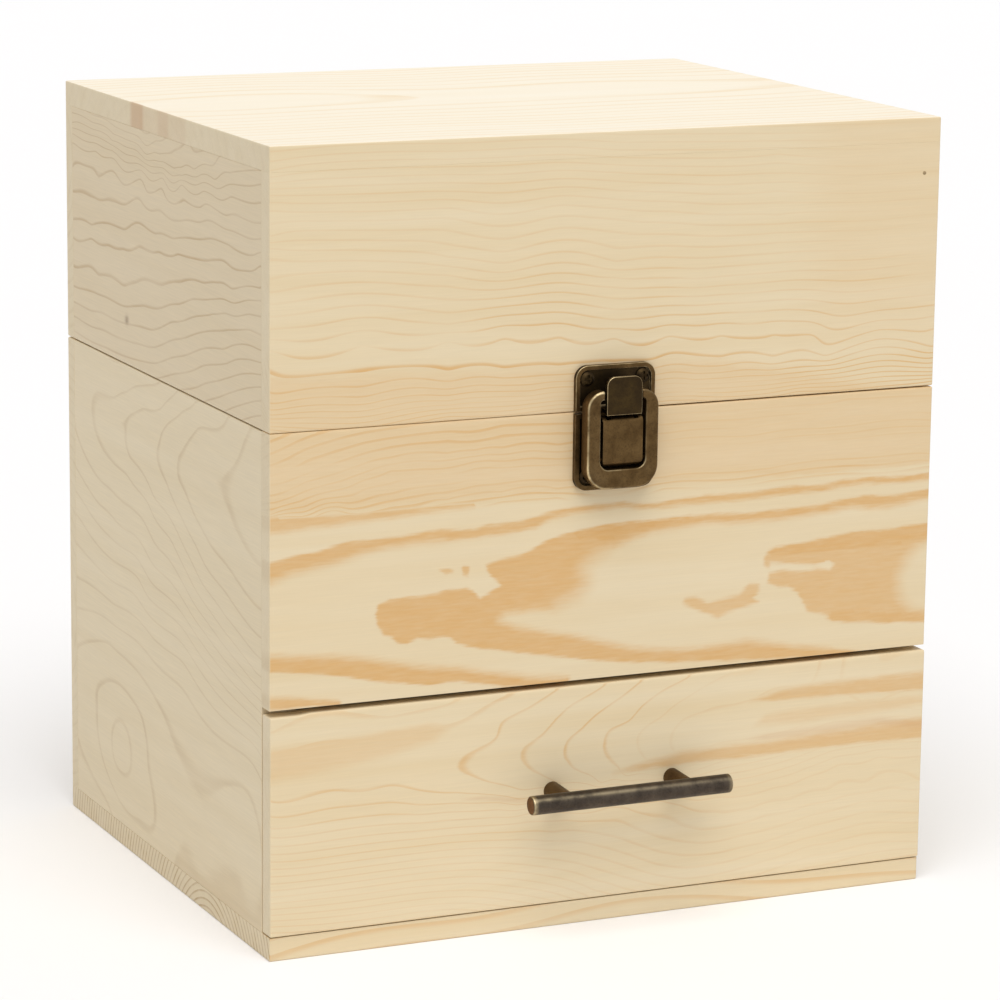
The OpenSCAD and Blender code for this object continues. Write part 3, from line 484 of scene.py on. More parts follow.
# The front panel's flame: outlines of pools of latewood, in runs of x, z with the mm over which the rim fades
POOLS = [
    (0.82, [
        (1.0, [
            125, 141, 115, 139.7, 105, 139.3, 97, 140, 88, 139.3, 80, 138.2, 70, 138, 60, 137.8, 50, 137.5,
            42, 138.2, 32, 138.2, 20, 138, 10, 137.8, 0, 138, -8, 137, -18, 135.7, -25, 133.5, -30, 131, -36, 129.5,
            -41, 128.7, -45.5, 127.5, -44.5, 125, -42, 122.7, -40, 120.5, -44, 118.3, -48, 116.3, -50.5, 119.3,
            -53, 120.3, -60, 120.3, -63, 119.4, -70, 119, -80, 118.8, -84, 117.5, -85, 114, -84, 110, -82, 107.5,
            -79, 106.3, -77, 104.3, -74, 104, -70, 105.4, -66, 104.4, -62, 104.8, -58.5, 104.5, -56, 102.3,
            -52, 100.8, -48, 99.8, -42, 98.7, -36, 97.4, -28, 95.9, -20, 94.5, -10, 92.6, 0, 90.8, 10, 89.6,
            20, 88.8, 30, 88, 40, 87.3, 50, 86.6, 60, 86, 70, 85.6, 100, 84,
        ]),
        (4.0, [
            85, 87.5, 70, 89.5, 60, 92, 52, 93.2, 44, 92.8, 35, 92, 25, 92.6, 15, 93.6, 8, 95, 0, 97.2, -8, 99.4,
            -15, 101.4, -25, 103.5, -35, 106, -41, 108.6, -38, 110.4, -30, 110.6,
        ]),
        (11.0, [-20, 110.5, -12, 113.5, -8, 117.5, -8, 121.5, -9, 124, -5, 126.6]),
        (4.0, [
            0, 129, 8, 132, 16, 133.8, 25, 134.6, 35, 135.3, 45, 134.8, 55, 134.4, 65, 134.6, 78, 135, 86, 136,
            92, 136.7, 100, 135.4, 106, 135.2, 115, 136.6, 125, 137.6,
        ]),
    ]),
    (0.68, [
        (1.2, FLAME_TOP + [
            58.5, 121.5, 58.5, 119, 60, 118.2, 61, 119.8, 64, 119.5, 68, 119, 73, 118.6, 78, 118, 84, 118.6, 86, 117,
            84, 115.2, 79, 116, 76, 115.4, 72, 115.5, 68, 116, 64, 116.3, 60.5, 116, 60, 113, 64, 111.3, 68, 111,
            72, 108.5, 74, 104.5, 76, 101.5, 80, 100.3, 83.5, 99.3,
        ] + FLAME_FOOT),
        (8.0, [125, 97.5, 118, 98.5, 113, 103, 112, 110, 115, 116, 119, 120, 125, 124]),
    ]),
    (0.85, [
        (1.0, FLAME_TOP),
        (5.0, [60, 121, 75, 120, 90, 119.4, 105, 119.4, 125, 122]),
    ]),
    (0.82, [
        (1.0, [83.5, 98.5] + FLAME_FOOT),
        (5.0, [125, 97.5, 110, 99.5, 95, 102, 83, 102.5]),
    ]),
    (0.62, [
        (1.5, [
            27.8, 108.3, 28.5, 109.6, 32, 110, 34, 109.2, 37, 107.6, 40, 108, 44, 108.6, 49, 109.3, 50.5, 110.6,
            53, 112.7, 56.5, 112.6, 56.8, 110.5, 54.5, 108, 56.5, 106.2, 54, 105.8, 50, 105, 45, 103.8, 41, 102.2,
            38.5, 103.6, 35, 105, 31, 106.8,
        ]),
    ]),
    (0.6, [(0.6, [-62.5, 127.6, -59, 127.4, -57.5, 126.4, -60, 126])]),
    (0.7, [(0.6, [-53.8, 128, -52, 127.6, -52, 124.6, -54, 125])]),
    (0.8, [
        (0.9, [
            -125, 134.2, -120, 135.2, -113, 136.4, -107, 136.9, -100, 138.5, -95, 139.4, -88, 139.5, -80, 139.6,
            -70, 140.2, -62, 140.9, -56, 140.2, -50, 139.9, -46, 141, -40, 141, -34, 141.3, -30, 142, -25, 143.3,
            -20, 144, -12, 144.6, -4, 145, 5, 144.8, 12, 143.8, 18, 143.7, 25, 144.5, 35, 144.8, 45, 144.6,
            52, 144.6, 60, 145.2, 70, 145.6, 80, 145.2, 88, 146.3, 97, 146.5, 105, 146, 112, 145.7, 125, 146.2,
        ]),
        (2.0, [
            125, 144.4, 112, 143.9, 105, 144.2, 97, 144.6, 88, 144.2, 80, 143.2, 70, 143.4, 60, 143, 50, 142.4,
            40, 142.6, 30, 142.7, 20, 142.2, 12, 142.4, 5, 143.4, -5, 143.4, -15, 142.6, -22, 141.5, -28, 139,
            -34, 138.2, -42, 137.8, -52, 137.2,
        ]),
        (5.0, [
            -60, 137, -70, 137, -80, 136.4, -90, 135.2, -98, 133, -106, 131.6, -114, 130.5, -120, 128.5, -125, 127,
        ]),
    ]),
    (0.65, [
        (0.9, [-125, 149.6, -110, 149, -100, 148.6, -90, 148.4, -80, 148.8, -70, 148.8, -60, 149.3, -50, 149]),
        (3.0, [-50, 147.6, -60, 147.6, -70, 147, -80, 146.2, -90, 146, -100, 145.4, -110, 145, -125, 144.5]),
    ]),
    (0.85, [
        (0.9, [
            -125, 98.8, -118, 98.2, -110, 97.2, -102, 96, -95, 94.6, -90, 93.4, -85, 92.2, -80, 91.3, -75, 90.6,
            -70, 89.6, -65, 88.9, -60, 89.3, -55, 89.2, -50, 88.2, -44, 87, -38, 85.8, -30, 84.8, -15, 84,
        ]),
        (4.5, [
            -15, 86.5, -30, 88.3, -40, 90.5, -48, 92, -56, 94, -64, 94.8, -72, 96, -80, 98, -90, 100.5, -100, 102,
            -110, 102.6, -125, 104.2,
        ]),
    ]),
    (0.75, [
        (1.0, [-125, 86, -110, 86, -98, 85.2]),
        (2.4, [-98, 86.5, -108, 88.2, -116, 89.3, -125, 90.2]),
    ]),
    (0.95, [
        (1.0, [30, 138.2, 20, 138, 10, 137.8, 0, 138, -8, 137, -15, 136]),
        (4.0, [-12, 133, -4, 131, 4, 131.5, 12, 134, 30, 136]),
    ]),
    (0.3, [
        (1.0, [-125, 180, 125, 180, 125, 150]),
        (5.0, [60, 149.5, -60, 150, -125, 150]),
    ]),
]

# Lid front: almost plain, with level tan lines near its lower rim. It is warmer under LOW_LINE and at the right end.
LOW_LINE = [-122, 196.5, -90, 195.2, -60, 193.8, -40, 193.3, -20, 193, 0, 192.9, 15, 192.8, 40, 192]
LEVEL = [
    (28, 0.45, 0.7, [-122, 178.5, -60, 178.5, -20, 178.4, 0, 178.4, 20, 178.4, 70, 178.3, 122, 178.5]),
    (26, 0.45, 0.7, [-122, 180.8, -60, 181, -30, 180.8, -10, 180.7, 10, 180.7, 30, 180.8, 70, 180.6, 122, 180.6]),
    (24, 0.42, 0.7, [-122, 183.3, -60, 183.8, -30, 183.4, -10, 183.3, 10, 183.3, 30, 183.4, 70, 183.2, 122, 183.2]),
    (22, 0.36, 0.7, [
        -122, 187, -90, 187, -60, 187.6, -30, 187.2, -10, 187, 10, 187, 30, 187, 50, 187, 80, 186.6, 122, 186.6,
    ]),
    (20, 0.3, 0.8, LOW_LINE),
    (20, 0.3, 0.6, [60, 191, 80, 190, 122, 190.5]),
    (19, 0.16, 0.07, [-122, 204, -90, 203.5, -60, 203.2]),
    (19, 0.2, 0.55, [-40, 202.8, -20, 202, 0, 200.5, 20, 200, 40, 199, 60, 198, 75, 197, 100, 197.5, 122, 196.5]),
    (17, 0.3, 0.16, [-122, 211, -60, 209, 0, 207, 50, 206.5]),
    (15, 0.3, 0.16, [-122, 219, -60, 217, 0, 214, 50, 213]),
    (13, 0.3, 0.16, [-122, 227, -60, 225, 0, 221, 30, 219, 122, 220]),
    (11, 0.3, 0.2, [-122, 237, -80, 234, -60, 231, -40, 228, 0, 226.5, 60, 226, 122, 228]),
    (9, 0.3, 0.17, [-122, 241, -60, 239.5, 0, 236, 60, 233, 122, 234]),
    (7, 0.3, 0.21, [-122, 249, -60, 247, -20, 246, 0, 244, 20, 242, 40, 240, 60, 239, 100, 238.5, 122, 239]),
    (5, 0.3, 0.17, [-122, 254, -60, 252.5, 0, 250, 60, 247, 122, 245]),
    (3, 0.3, 0.19, [-122, 258, -60, 258, 0, 256, 60, 253, 122, 251]),
    (1, 0.3, 0.19, [-122, 262, -60, 263, 0, 261, 60, 259.5, 122, 258]),
    (-1, 0.3, 0.19, [-122, 268, -60, 268, 0, 266, 60, 264, 122, 263]),
]
LID_WARM = [
    (0.28, [(1.0, [125, 174, -125, 174]), (6.0, LOW_LINE)]),
    (0.12, [(30.0, [70, 195, 160, 195, 160, 300, 70, 300])]),
]

# Drawer front: pointed loops that open to the upper right, over close rings that dip under the handle.
LOOPS = [
    (6, 0.15, 0.5, [-20, 83, -26, 80, -33, 77, -40, 74, -42, 69, -48, 66, -54, 63.5, -56, 61, -55, 58, -50, 55.5]),
    (6, 0.15, 0.5, [-44, 53, -36, 50.5, -28, 49]),
    (5, 0.15, 0.45, [-2, 83, -8, 80, -14, 77.5, -20, 73, -24, 69, -28, 66.5, -32, 64, -33, 61, -31, 57.5, -26, 54]),
    (5, 0.15, 0.45, [-22, 52, -18, 50]),
    (4, 0.15, 0.55, [10, 82, 2, 77, -5, 73, -10, 69, -15.5, 65, -17, 60, -15, 56.5, -10, 53, -5, 50.5, -2, 48.5]),
    (3, 0.15, 0.5, [30, 83, 20, 79, 12, 74, 8, 70, 0, 67, -2, 63, -2, 59, 0, 56, 4, 53, 7, 50]),
    (2, 0.15, 0.15, [45, 82.5, 35, 78.5, 27, 74.5, 20, 70, 14, 67, 11, 64, 10.5, 61, 12, 57, 15, 54, 18, 51]),
    (1, 0.18, 0.15, [75, 75, 55, 72.5, 48, 71.5, 35, 70, 28, 68, 24, 64, 23, 61, 25, 56, 28, 53]),
    (0.4, 0.18, 0.15, [45, 62, 70, 62, 100, 64, 122, 64]),
    (0, 0.3, 0.15, [52, 65, 60, 67, 75, 68, 95, 68, 115, 69, 122, 71]),
    (7, 0.32, 0.32, [-122, 70.5, -90, 73, -60, 75, -48, 79, -38, 83]),
    (6.4, 0.32, 0.3, [-122, 62, -100, 63, -80, 66, -66, 69, -90, 59]),
    (7, 0.18, 0.5, [-122, 54.5, -100, 56, -80, 55.5, -70, 53, -60, 51, -52, 50, -40, 48, -32, 46]),
    (8, 0.18, 0.2, [-122, 79, -80, 80, -60, 82]),
    (8, 0.26, 0.27, [-122, 49.5, -90, 50, -70, 48, -55, 47, -40, 45.5, -20, 44.5, 0, 44, 20, 42]),
    (8, 0.26, 0.15, [42, 38.5, 52, 37.8, 65, 39.5, 78, 42, 90, 45, 105, 46, 122, 44.5]),
    (9, 0.3, 0.27, [-122, 45.5, -73, 45, -40, 43, -20, 42.5, 8, 41, 28, 37, 35, 34, 45, 32.5]),
    (9, 0.3, 0.15, [55, 33, 70, 34.5, 85, 36.5, 100, 37.5, 122, 36]),
    (10, 0.3, 0.27, [-122, 42.5, -60, 41.5, -30, 40.5, 0, 39, 10, 37, 18, 34, 28, 30, 36, 27.5, 47, 27.5, 60, 29.5]),
    (10, 0.3, 0.15, [75, 31, 90, 33, 105, 34, 122, 32.5]),
    (11, 0.3, 0.27, [-122, 39.5, -60, 38.7, -30, 37.5, -15, 36.5, 0, 34.5, 10, 31, 20, 26.5, 30, 23.7, 40, 22.5]),
    (11, 0.3, 0.15, [52, 23.5, 65, 25, 80, 28, 100, 30.5, 122, 28]),
    (12, 0.32, 0.27, [
        -122, 36.7, -60, 36.2, -35, 34.7, -20, 33, 0, 29.5, 8, 26.5, 16, 23, 25, 20, 35, 18.5, 45, 18.5,
    ]),
    (12, 0.3, 0.15, [60, 20, 80, 24, 100, 26.5, 122, 24]),
    (13, 0.32, 0.27, [-122, 34.2, -60, 33.7, -35, 32, -20, 29.8, 0, 25, 10, 21, 20, 16.8, 30, 14.5, 42, 14.5]),
    (13, 0.3, 0.15, [60, 17, 80, 20, 100, 22.5, 122, 20.5]),
    (14, 0.32, 0.27, [-122, 31.7, -60, 31.2, -35, 29.2, -20, 26.6, 0, 20.8, 10, 16.7, 20, 13, 35, 10.5, 50, 11.5]),
    (14, 0.3, 0.15, [80, 17, 100, 18.6, 122, 17]),
    (15, 0.32, 0.27, [-122, 29.2, -60, 28.7, -35, 26.4, -20, 23.4, 0, 16.6, 10, 12.8, 20, 9.5]),
    (15, 0.3, 0.15, [60, 9, 85, 13, 105, 15, 122, 13.5]),
    (16, 0.32, 0.27, [-122, 26.7, -60, 26.3, -35, 23.6, -20, 20.2, 0, 12.8, 8, 9.5]),
    (17, 0.32, 0.27, [-122, 24.4, -60, 23.9, -35, 20.9, -20, 17.2, -5, 11, 122, 9]),
    (18, 0.32, 0.27, [-122, 22.2, -60, 21.6, -35, 18.3, -20, 14.4, -8, 9.5]),
    (19, 0.32, 0.27, [-122, 20, -60, 19.2, -35, 15.7, -20, 11.6]),
    (20, 0.32, 0.27, [-122, 18, -60, 17, -35, 13.1]),
    (21, 0.32, 0.27, [-122, 16, -60, 14.8, -35, 10.7]),
    (22, 0.32, 0.27, [-122, 14, -60, 12.6]),
    (23, 0.32, 0.27, [-122, 12, -60, 10.6]),
]
# Resin streaks and broad bands of the drawer front, with half the thickness of a streak after its x, z
RESIN = [
    (0.3, [(-56, 48.6, 0.4), (-45, 47.8, 0.7), (-34, 46, 1.0), (-30, 45.5, 0.6), (-29, 45, 0.05)]),
    (0.3, [(52, 58, 0.8), (75, 58.6, 1.6), (105, 59.5, 1.6), (122, 56.5, 1.4)]),
]
BANDS = [
    (0.32, [
        (4.0, [-125, 61.5, -100, 63.5, -80, 66.5, -64, 69.5]),
        (2.0, [-58, 74, -66, 75.5, -90, 74, -110, 73, -125, 72]),
    ]),
    (0.62, [
        (1.0, [54, 71.5, 70, 71, 95, 70.4, 125, 69.4]),
        (3.0, [125, 75.6, 100, 75.4, 80, 75.2, 66, 74.4]),
    ]),
    (0.3, [(2.5, [56, 63, 75, 62.2, 100, 63, 125, 64, 125, 66.5, 100, 67, 75, 67, 60, 66])]),
    (0.62, [
        (1.2, [2, 51.4, 14, 52, 30, 52.4, 50, 52.2, 70, 52.4, 95, 52.6, 125, 52]),
        (3.0, [125, 59, 108, 58.6, 85, 57.4, 60, 56.4, 45, 56.6, 28, 56.4, 14, 54.2]),
    ]),
]

# Left side of the lid: wavy lines that fall to the back, and a swirl under the top board.
WAVES = [
    (2, 0.2, 0.42, [21, 258, 5, 259, -7, 262]),
    (3, 0.2, 0.45, [93, 259, 70, 258, 51, 257, 34, 256, 18, 254, 2, 255, -14, 258, -26, 262]),
    (4, 0.2, 0.45, [93, 255.5, 50, 254, 15, 251.5, -13, 252, -32, 254, -47, 257, -56, 261]),
    (5, 0.2, 0.5, [93, 253.6, 50, 252.5, 15, 250.2, -5, 250.2, -20, 250.5, -32, 251.5, -51, 253, -66, 257, -93, 261]),
    (6, 0.2, 0.45, [93, 251.5, 50, 250.5, 20, 249, 0, 248.9, -20, 249, -50, 250.6, -66, 253.2, -93, 256.5]),
    (7, 0.2, 0.5, [93, 248, 68, 248, 48, 247.7, 20, 247.3, -1, 247.3, -20, 247.3, -41, 247.8, -66, 249, -93, 250.5]),
    (8, 0.2, 0.6, [95, 238, 65, 239, 38, 239.8, 15, 240.6, -4, 241, -20, 241.3, -38, 242, -62, 242.5, -93, 244]),
    (9, 0.2, 0.5, [95, 230, 69, 231, 50, 232.2, 35, 233.3, 0, 235.3, -40, 237.5, -93, 239]),
    (10, 0.2, 0.48, [95, 220, 73, 221, 38, 224, 6, 227, -13, 228, -50, 233, -64, 233, -87, 233]),
    (11, 0.2, 0.72, [96, 214, 73, 216, 55, 216, 39, 217, 22, 220, 3, 221, -16, 223, -35, 224, -59, 227, -92, 230]),
    (12, 0.2, 0.61, [92, 203, 66, 204, 39, 204, 26, 207, 0, 210, -19, 214, -41, 217, -54, 219, -67, 219, -92, 223]),
    (13, 0.2, 0.54, [94, 196, 70, 197, 51, 197, 31, 198, 19, 200, 6, 201, -16, 206, -31, 210, -50, 213, -92, 219]),
    (14, 0.2, 0.54, [73, 190, 63, 191, 39, 191, 11, 193, -10, 199, -31, 204, -50, 208, -61, 210, -82, 213]),
    (15, 0.2, 0.43, [90, 185, 40, 185, 10, 187, -20, 195, -60, 204, -93, 208]),
    (16, 0.2, 0.43, [60, 179, 15, 181, -20, 189, -60, 198, -93, 203]),
    (17, 0.2, 0.43, [-10, 181, -40, 189, -70, 196, -93, 199]),
    (18, 0.2, 0.43, [-35, 181, -60, 188, -93, 195]),
    (19, 0.2, 0.43, [-55, 181, -75, 187, -93, 191]),
]

# Left side of the body: a faint flame pointing back, over an eye near the back.
SWIRL = [
    (1, 0.17, 0.26, [-78, 172, -71, 164, -62, 158, -52, 154, -55, 149, -61, 145]),
    (2, 0.17, 0.31, [
        -58, 173, -48, 170, -35, 168, -30, 165, -20, 158, -14, 152, -15, 146, -22, 142, -31, 136, -49, 128,
    ]),
    (3, 0.17, 0.31, [-28, 174, -20, 171, -14, 168, -5, 164, 1, 160, 4, 156, 7, 150, 4, 146, -3, 142, -18, 133]),
    (3, 0.17, 0.31, [-32, 126, -60, 116, -90, 108]),
    (4, 0.17, 0.32, [-11, 175, -5, 172, 2, 168, 19, 165, 34, 160, 43, 156, 40, 153, 39, 148, 34, 144, 10, 135]),
    (4, 0.17, 0.26, [-19, 124, -39, 114, -60, 108, -90, 101]),
    (5, 0.17, 0.32, [68, 163, 49, 164, 37, 168, 20, 173, 70, 145, 62, 141, 37, 137, 15, 131, -7, 123, -15, 119]),
    (5, 0.17, 0.26, [-40, 108, -90, 95]),
    (6.5, 0.17, 0.32, [90, 133, 68, 125, 57, 124, 42, 121, 10, 114, -30, 103, -90, 89]),
    (9, 0.17, 0.26, [90, 111, 55, 103, 41, 103, 26, 102, 17, 98, -20, 94, -47, 86, -90, 79]),
    (11, 0.17, 0.26, [90, 88, 65, 88, 53, 87, 20, 86, -20, 82, -60, 72, -87, 70]),
    (13, 0.17, 0.26, [91, 62, 74, 68, 58, 71, 47, 70, 20, 66, -10, 50, -27, 28, -44, 32, -80, 52]),
    (14, 0.17, 0.31, [70, 45, 70, 50, 63, 55, 53, 58, 42, 58, 33, 56, 25, 53, 20, 46, 18, 36, 28, 15, 12, 18]),
    (15, 0.17, 0.23, [52, 30, 38, 30, 45, 45]),
    (13, 0.17, 0.26, [80, 20, 60, 12, -10, 12, -32, 16, -47, 22, -61, 25, -72, 25]),
]


def board(name, body, figure, grain, step, outer, finish=PINE, end_line=0.3, settle=None, ease=0.05):
    """Board as a closed grid skin with a hair of ease on every edge and sanded corners on the box's own outer edges.

    Sawn ends show end_line of the figure, and settle moves the finished points.
    """
    low, high = corners(name)
    points, quads = box_skin(*(grid_lines(low[k], high[k], step) for k in range(3)))
    attributes = figure(points)
    ends = np.minimum(points[:, grain] - low[grain], high[grain] - points[:, grain]) < 0.3
    attributes["shade"] = attributes.get("shade", 1.0) * np.where(ends, 0.97, 1.0)
    for key in ("line", "depth"):
        attributes[key] = attributes[key] * np.where(ends, end_line, 1.0)
    # Each board takes its fibres from another place in the noise
    order = [grain] + [k for k in range(3) if k != grain]
    attributes["fibre"] = MM * (points[:, order] + 61.0 * (sum(map(ord, name)) % 17))
    shape = eased(eased(points, low, high, ease), *outer, 0.6)
    if settle is not None:
        shape = settle(shape)
    middles = points[quads].mean(1)
    # Sawn ends take the copy darkened as painted shade, and the lid's top face the copy paled as painted sheen
    kinds = np.where(np.minimum(middles - low, high - middles)[:, grain] < 0.01, 1, 0)
    if name == "lid_top":
        kinds = np.where(middles[:, 2] > high[2] - 0.01, 2, kinds)
    materials = [finish, PINE_SIDE_PAINTED_SHADE, PINE_TOP_PAINTED_SHEEN]
    piece(name + "_board", shape, quads.tolist(), body, name, materials, attributes, kinds)


lid_low, lid_high = corners("lid_top")
lid_box = np.minimum(corners("lid_front")[0], lid_low), np.maximum(corners("lid_back")[1], lid_high)
body_box = corners("bottom_board")[0], corners("back_panel")[1]
# The brad that shows
BRAD_X, BRAD_Z = 116.5, 251.0
level = drawn(LEVEL, (0, 2), 0.3, pools=LID_WARM)
waves = drawn(WAVES, (1, 2), 0.2)
top_sawn = sawn(0, (18.0, 210.0), 5.5, 0.5, 5.0, 6.0)
# Brown bars on the left end of the top board: their edges and how brown they are
BAR_Y = (-25, -23, -8, -6, 2, 4, 17, 19, 30, 31)
BAR_TINT = (0, 0.15, 0.1, 0.3, 0.3, 0.12, 0.12, 0.55, 0.5, 0)


def top_figure(points):
    """Sawn figure, with the lid front's lines carried on over the front edge and brown bars on the left end."""
    found, edge = top_sawn(points), level(points)
    front = points[:, 1] < lid_box[0][1] + 0.5
    found = {key: np.where(front, edge[key], found[key]) for key in found}
    left = points[:, 0] < lid_box[0][0] + 0.3
    bars = np.interp(points[:, 1], BAR_Y, BAR_TINT)
    return found | {"tint": np.where(left, bars, found["tint"]), "shade": np.where(left, 1 - 0.16 * bars, 1.0)}


def left_figure(points):
    """Waves, with a small dark knot near the back: a gaussian 3 mm wide in the tone, and the whole side darker as
    painted shade.
    """
    knot = np.exp(-(((points[:, 1] - 36) / 1.7) ** 2) - ((points[:, 2] - 193) / 1.3) ** 2)
    # 0.955 is painted shade over the whole side
    return waves(points) | {"shade": 0.955 - 0.5 * knot, "tint": 0.07 + 0.43 * knot}


def brad_dent(points):
    """Skin sunk by 0.06 mm within 1 mm of the brad that shows, and level 2 mm away."""
    reach = np.hypot(points[:, 0] - BRAD_X, points[:, 2] - BRAD_Z)
    points[:, 1] += np.where(points[:, 1] < lid_box[0][1] + 0.05, 0.06 * np.clip(2 - reach, 0, 1), 0)
    return points


def raised(points, rise, start, reach):
    """Upper rim raised: not at all at start, and by rise from start + reach on along X."""
    share = np.clip((points[:, 0] - start) / reach, 0, 1)
    points[:, 2] += np.where(points[:, 2] > points[:, 2].max() - 0.3, rise * share, 0)
    return points


# The lid shuts tight towards the left, and the gap over the drawer is a thin line but for its first 12 mm on the left
tight_seam = partial(raised, rise=0.28, start=30, reach=-60)
close_drawer = partial(raised, rise=0.45, start=-112, reach=4)
panel = drawn(FINE, (0, 2), 0.12, pools=POOLS, plain=147.0)
loops = drawn(LOOPS, (0, 2), 0.3, RESIN, BANDS)
swirl = drawn(SWIRL, (1, 2), 0.2)

board("front_panel", "body", panel, 0, 0.9, body_box, settle=tight_seam)
board("lid_front", "lid", level, 0, 1.0, lid_box, settle=brad_dent)
board("drawer_front", "drawer", loops, 0, 1.0, corners("drawer_front"), settle=close_drawer)
board("left_side", "body", swirl, 1, 1.2, body_box, PINE_SIDE_PAINTED_SHADE, ease=0.22)
board("lid_left_side", "lid", left_figure, 1, 1.2, lid_box, PINE_SIDE_PAINTED_SHADE, ease=0.22)
board("right_side", "body", sawn(1, (150.0, 110.0), 4.5, 0.35, 5.0, 14.0), 1, 2.0, body_box, PINE_SIDE_PAINTED_SHADE)
board("lid_right_side", "lid", sawn(1, (160.0, 205.0), 5.5, 0.35, 5.0, 10.0), 1, 2.0, lid_box, PINE_SIDE_PAINTED_SHADE)
board("back_panel", "body", sawn(0, (130.0, 70.0), 4.2, 0.4, 5.0, 12.0), 0, 2.0, body_box)
board("lid_back", "lid", sawn(0, (125.0, 240.0), 5.0, 0.4, 5.0, 9.0), 0, 2.0, lid_box)
board("bottom_board", "body", sawn(0, (-45.0, -22.0), 2.6, 0.4, 2.0), 0, 1.6, body_box, end_line=2.0)
board("lid_top", "lid", top_figure, 0, 1.6, lid_box, end_line=0.1)


# Latch ring and handle bar


def capped(grid):
    """Points and faces of a (rows, columns, 3) grid that closes round its columns, with a fan over each end row."""
    rows, columns = grid.shape[:2]
    index = np.arange(rows * columns).reshape(rows, columns)
    turned = np.roll(index, -1, 1)
    quads = np.stack([index[:-1], index[1:], turned[1:], turned[:-1]], -1).reshape(-1, 4)
    first = np.c_[index[0], turned[0], np.full(columns, index.size)]
    last = np.c_[turned[-1], index[-1], np.full(columns, index.size + 1)]
    points = np.concatenate([grid.reshape(-1, 3), grid[[0, -1]].mean(1)])
    return points, quads.tolist() + first.tolist() + last.tolist()


def hook_line(half, foot, top, lower_r, upper_r):
    """Line from one hook end down an arm, along the foot and up the other arm, as (x, z) rows.

    Each corner is a quarter circle: middle + r (cos a, sin a), with the same count of rows on every line.
    """
    turn = np.linspace(0, math.pi / 2, 15)
    sides = []
    for r, z, start in ((upper_r, top - upper_r, math.pi / 2), (lower_r, foot + lower_r, math.pi)):
        sides.append(np.c_[r - half + r * np.cos(start + turn), z + r * np.sin(start + turn)])
    arm = sides[0][-1] + np.linspace(0, 1, 22)[1:-1, None] * (sides[1][0] - sides[0][-1])
    half_line = np.concatenate([sides[0], arm, sides[1], np.linspace(sides[1][-1], (0, foot), 8)[1:]])
    return np.concatenate([half_line, half_line[-2::-1] * (-1, 1)])


def cast_ring():
    """Latch ring as a cast bar between an outer and an inner line, with a rounded section.

    A row of the grid goes round the section at one place of the lines: a way in from the outer line or out from the
    inner one, and a depth, both in mm, with a quarter circle at each corner. Both ends close as half an ellipsoid.
    Rubbed brass and painted highlight follow the front edges, with painted highlights as gaussians round the
    lower left corner, the hook ends and the inner lower right corner.
    """
    low, high = corners("latch_ring")
    # Height of the foot and of the hooks, half the opening, and how far the ends bulge, in mm
    foot, hook, opening, bulge = 6.6, 3.0, 8.3, 0.35
    outer = hook_line((high[0] - low[0]) / 2, low[2], high[2], lower_r=7.5, upper_r=6.0)
    inner = hook_line(opening, low[2] + foot, high[2] - hook, lower_r=3.3, upper_r=1.2)
    turn = np.linspace(0, math.pi / 2, 6)
    # Corners of the section as radius, which way round, and whether at the back
    way, back = [], []
    for r, flip, rear in ((0.9, 1, 0), (0.6, -1, 0), (0.4, 1, 1), (0.4, -1, 1)):
        way.append(r * (1 - np.cos(turn))[::flip])
        depth = r * (1 - np.sin(turn))[::flip]
        back.append(high[1] - low[1] - depth if rear else depth)
    way, back = np.concatenate(way)[:, None], np.concatenate(back)
    by_inner = np.repeat([False, True, True, False], len(turn))[:, None]
    across = inner - outer
    across = (across / np.linalg.norm(across, axis=1, keepdims=True))[:, None]
    plan = np.where(by_inner, inner[:, None] - across * way, outer[:, None] + across * way)
    grid = np.stack([plan[..., 0], np.broadcast_to(low[1] + back, plan.shape[:2]), plan[..., 1]], -1)
    step = np.array([0.02, 0.15, 0.35, 0.6, 0.85])[:, None]
    caps = []
    for rim, sign in ((grid[0], 1), (grid[-1], -1)):
        cap = rim.mean(0) + (rim - rim.mean(0)) * np.sqrt(1 - (1 - step) ** 2)[..., None]
        cap[..., 0] += sign * bulge * (1 - step)
        caps.append(cap[::sign])
    points, faces = capped(np.concatenate([caps[0], grid, caps[1]]))
    crest = np.exp(-(((turn - 0.8) / 0.4) ** 2))
    edge = np.r_[np.tile(np.r_[crest, 0.7 * crest, 0 * crest, 0 * crest], len(grid) + 2 * len(step)), 0.5, 0.5]
    # Painted highlights as x, z, reach and strength, over an even rubbed amount, more on the left as painted highlight
    spots = (
        (-10.5, 153.5, 4.0, 1.3),
        (-12.5, 158.0, 3.0, 0.8),
        (-10.5, 183.5, 4.0, 1.2),
        (-7.0, 184.0, 2.0, 1.6),
        (8.0, 159.5, 1.6, 1.8),
    )
    rub_and_highlight = 0.12 + 0.35 * (points[:, 0] < 0)
    for x, z, r, strength in spots:
        rub_and_highlight += strength * np.exp(-((points[:, 0] - x) ** 2 + (points[:, 2] - z) ** 2) / r**2)
    wear = {"wear": edge * rub_and_highlight}
    piece("latch_ring_cast", points, faces, "latch_ring", "latch_ring", [BRONZE], wear)


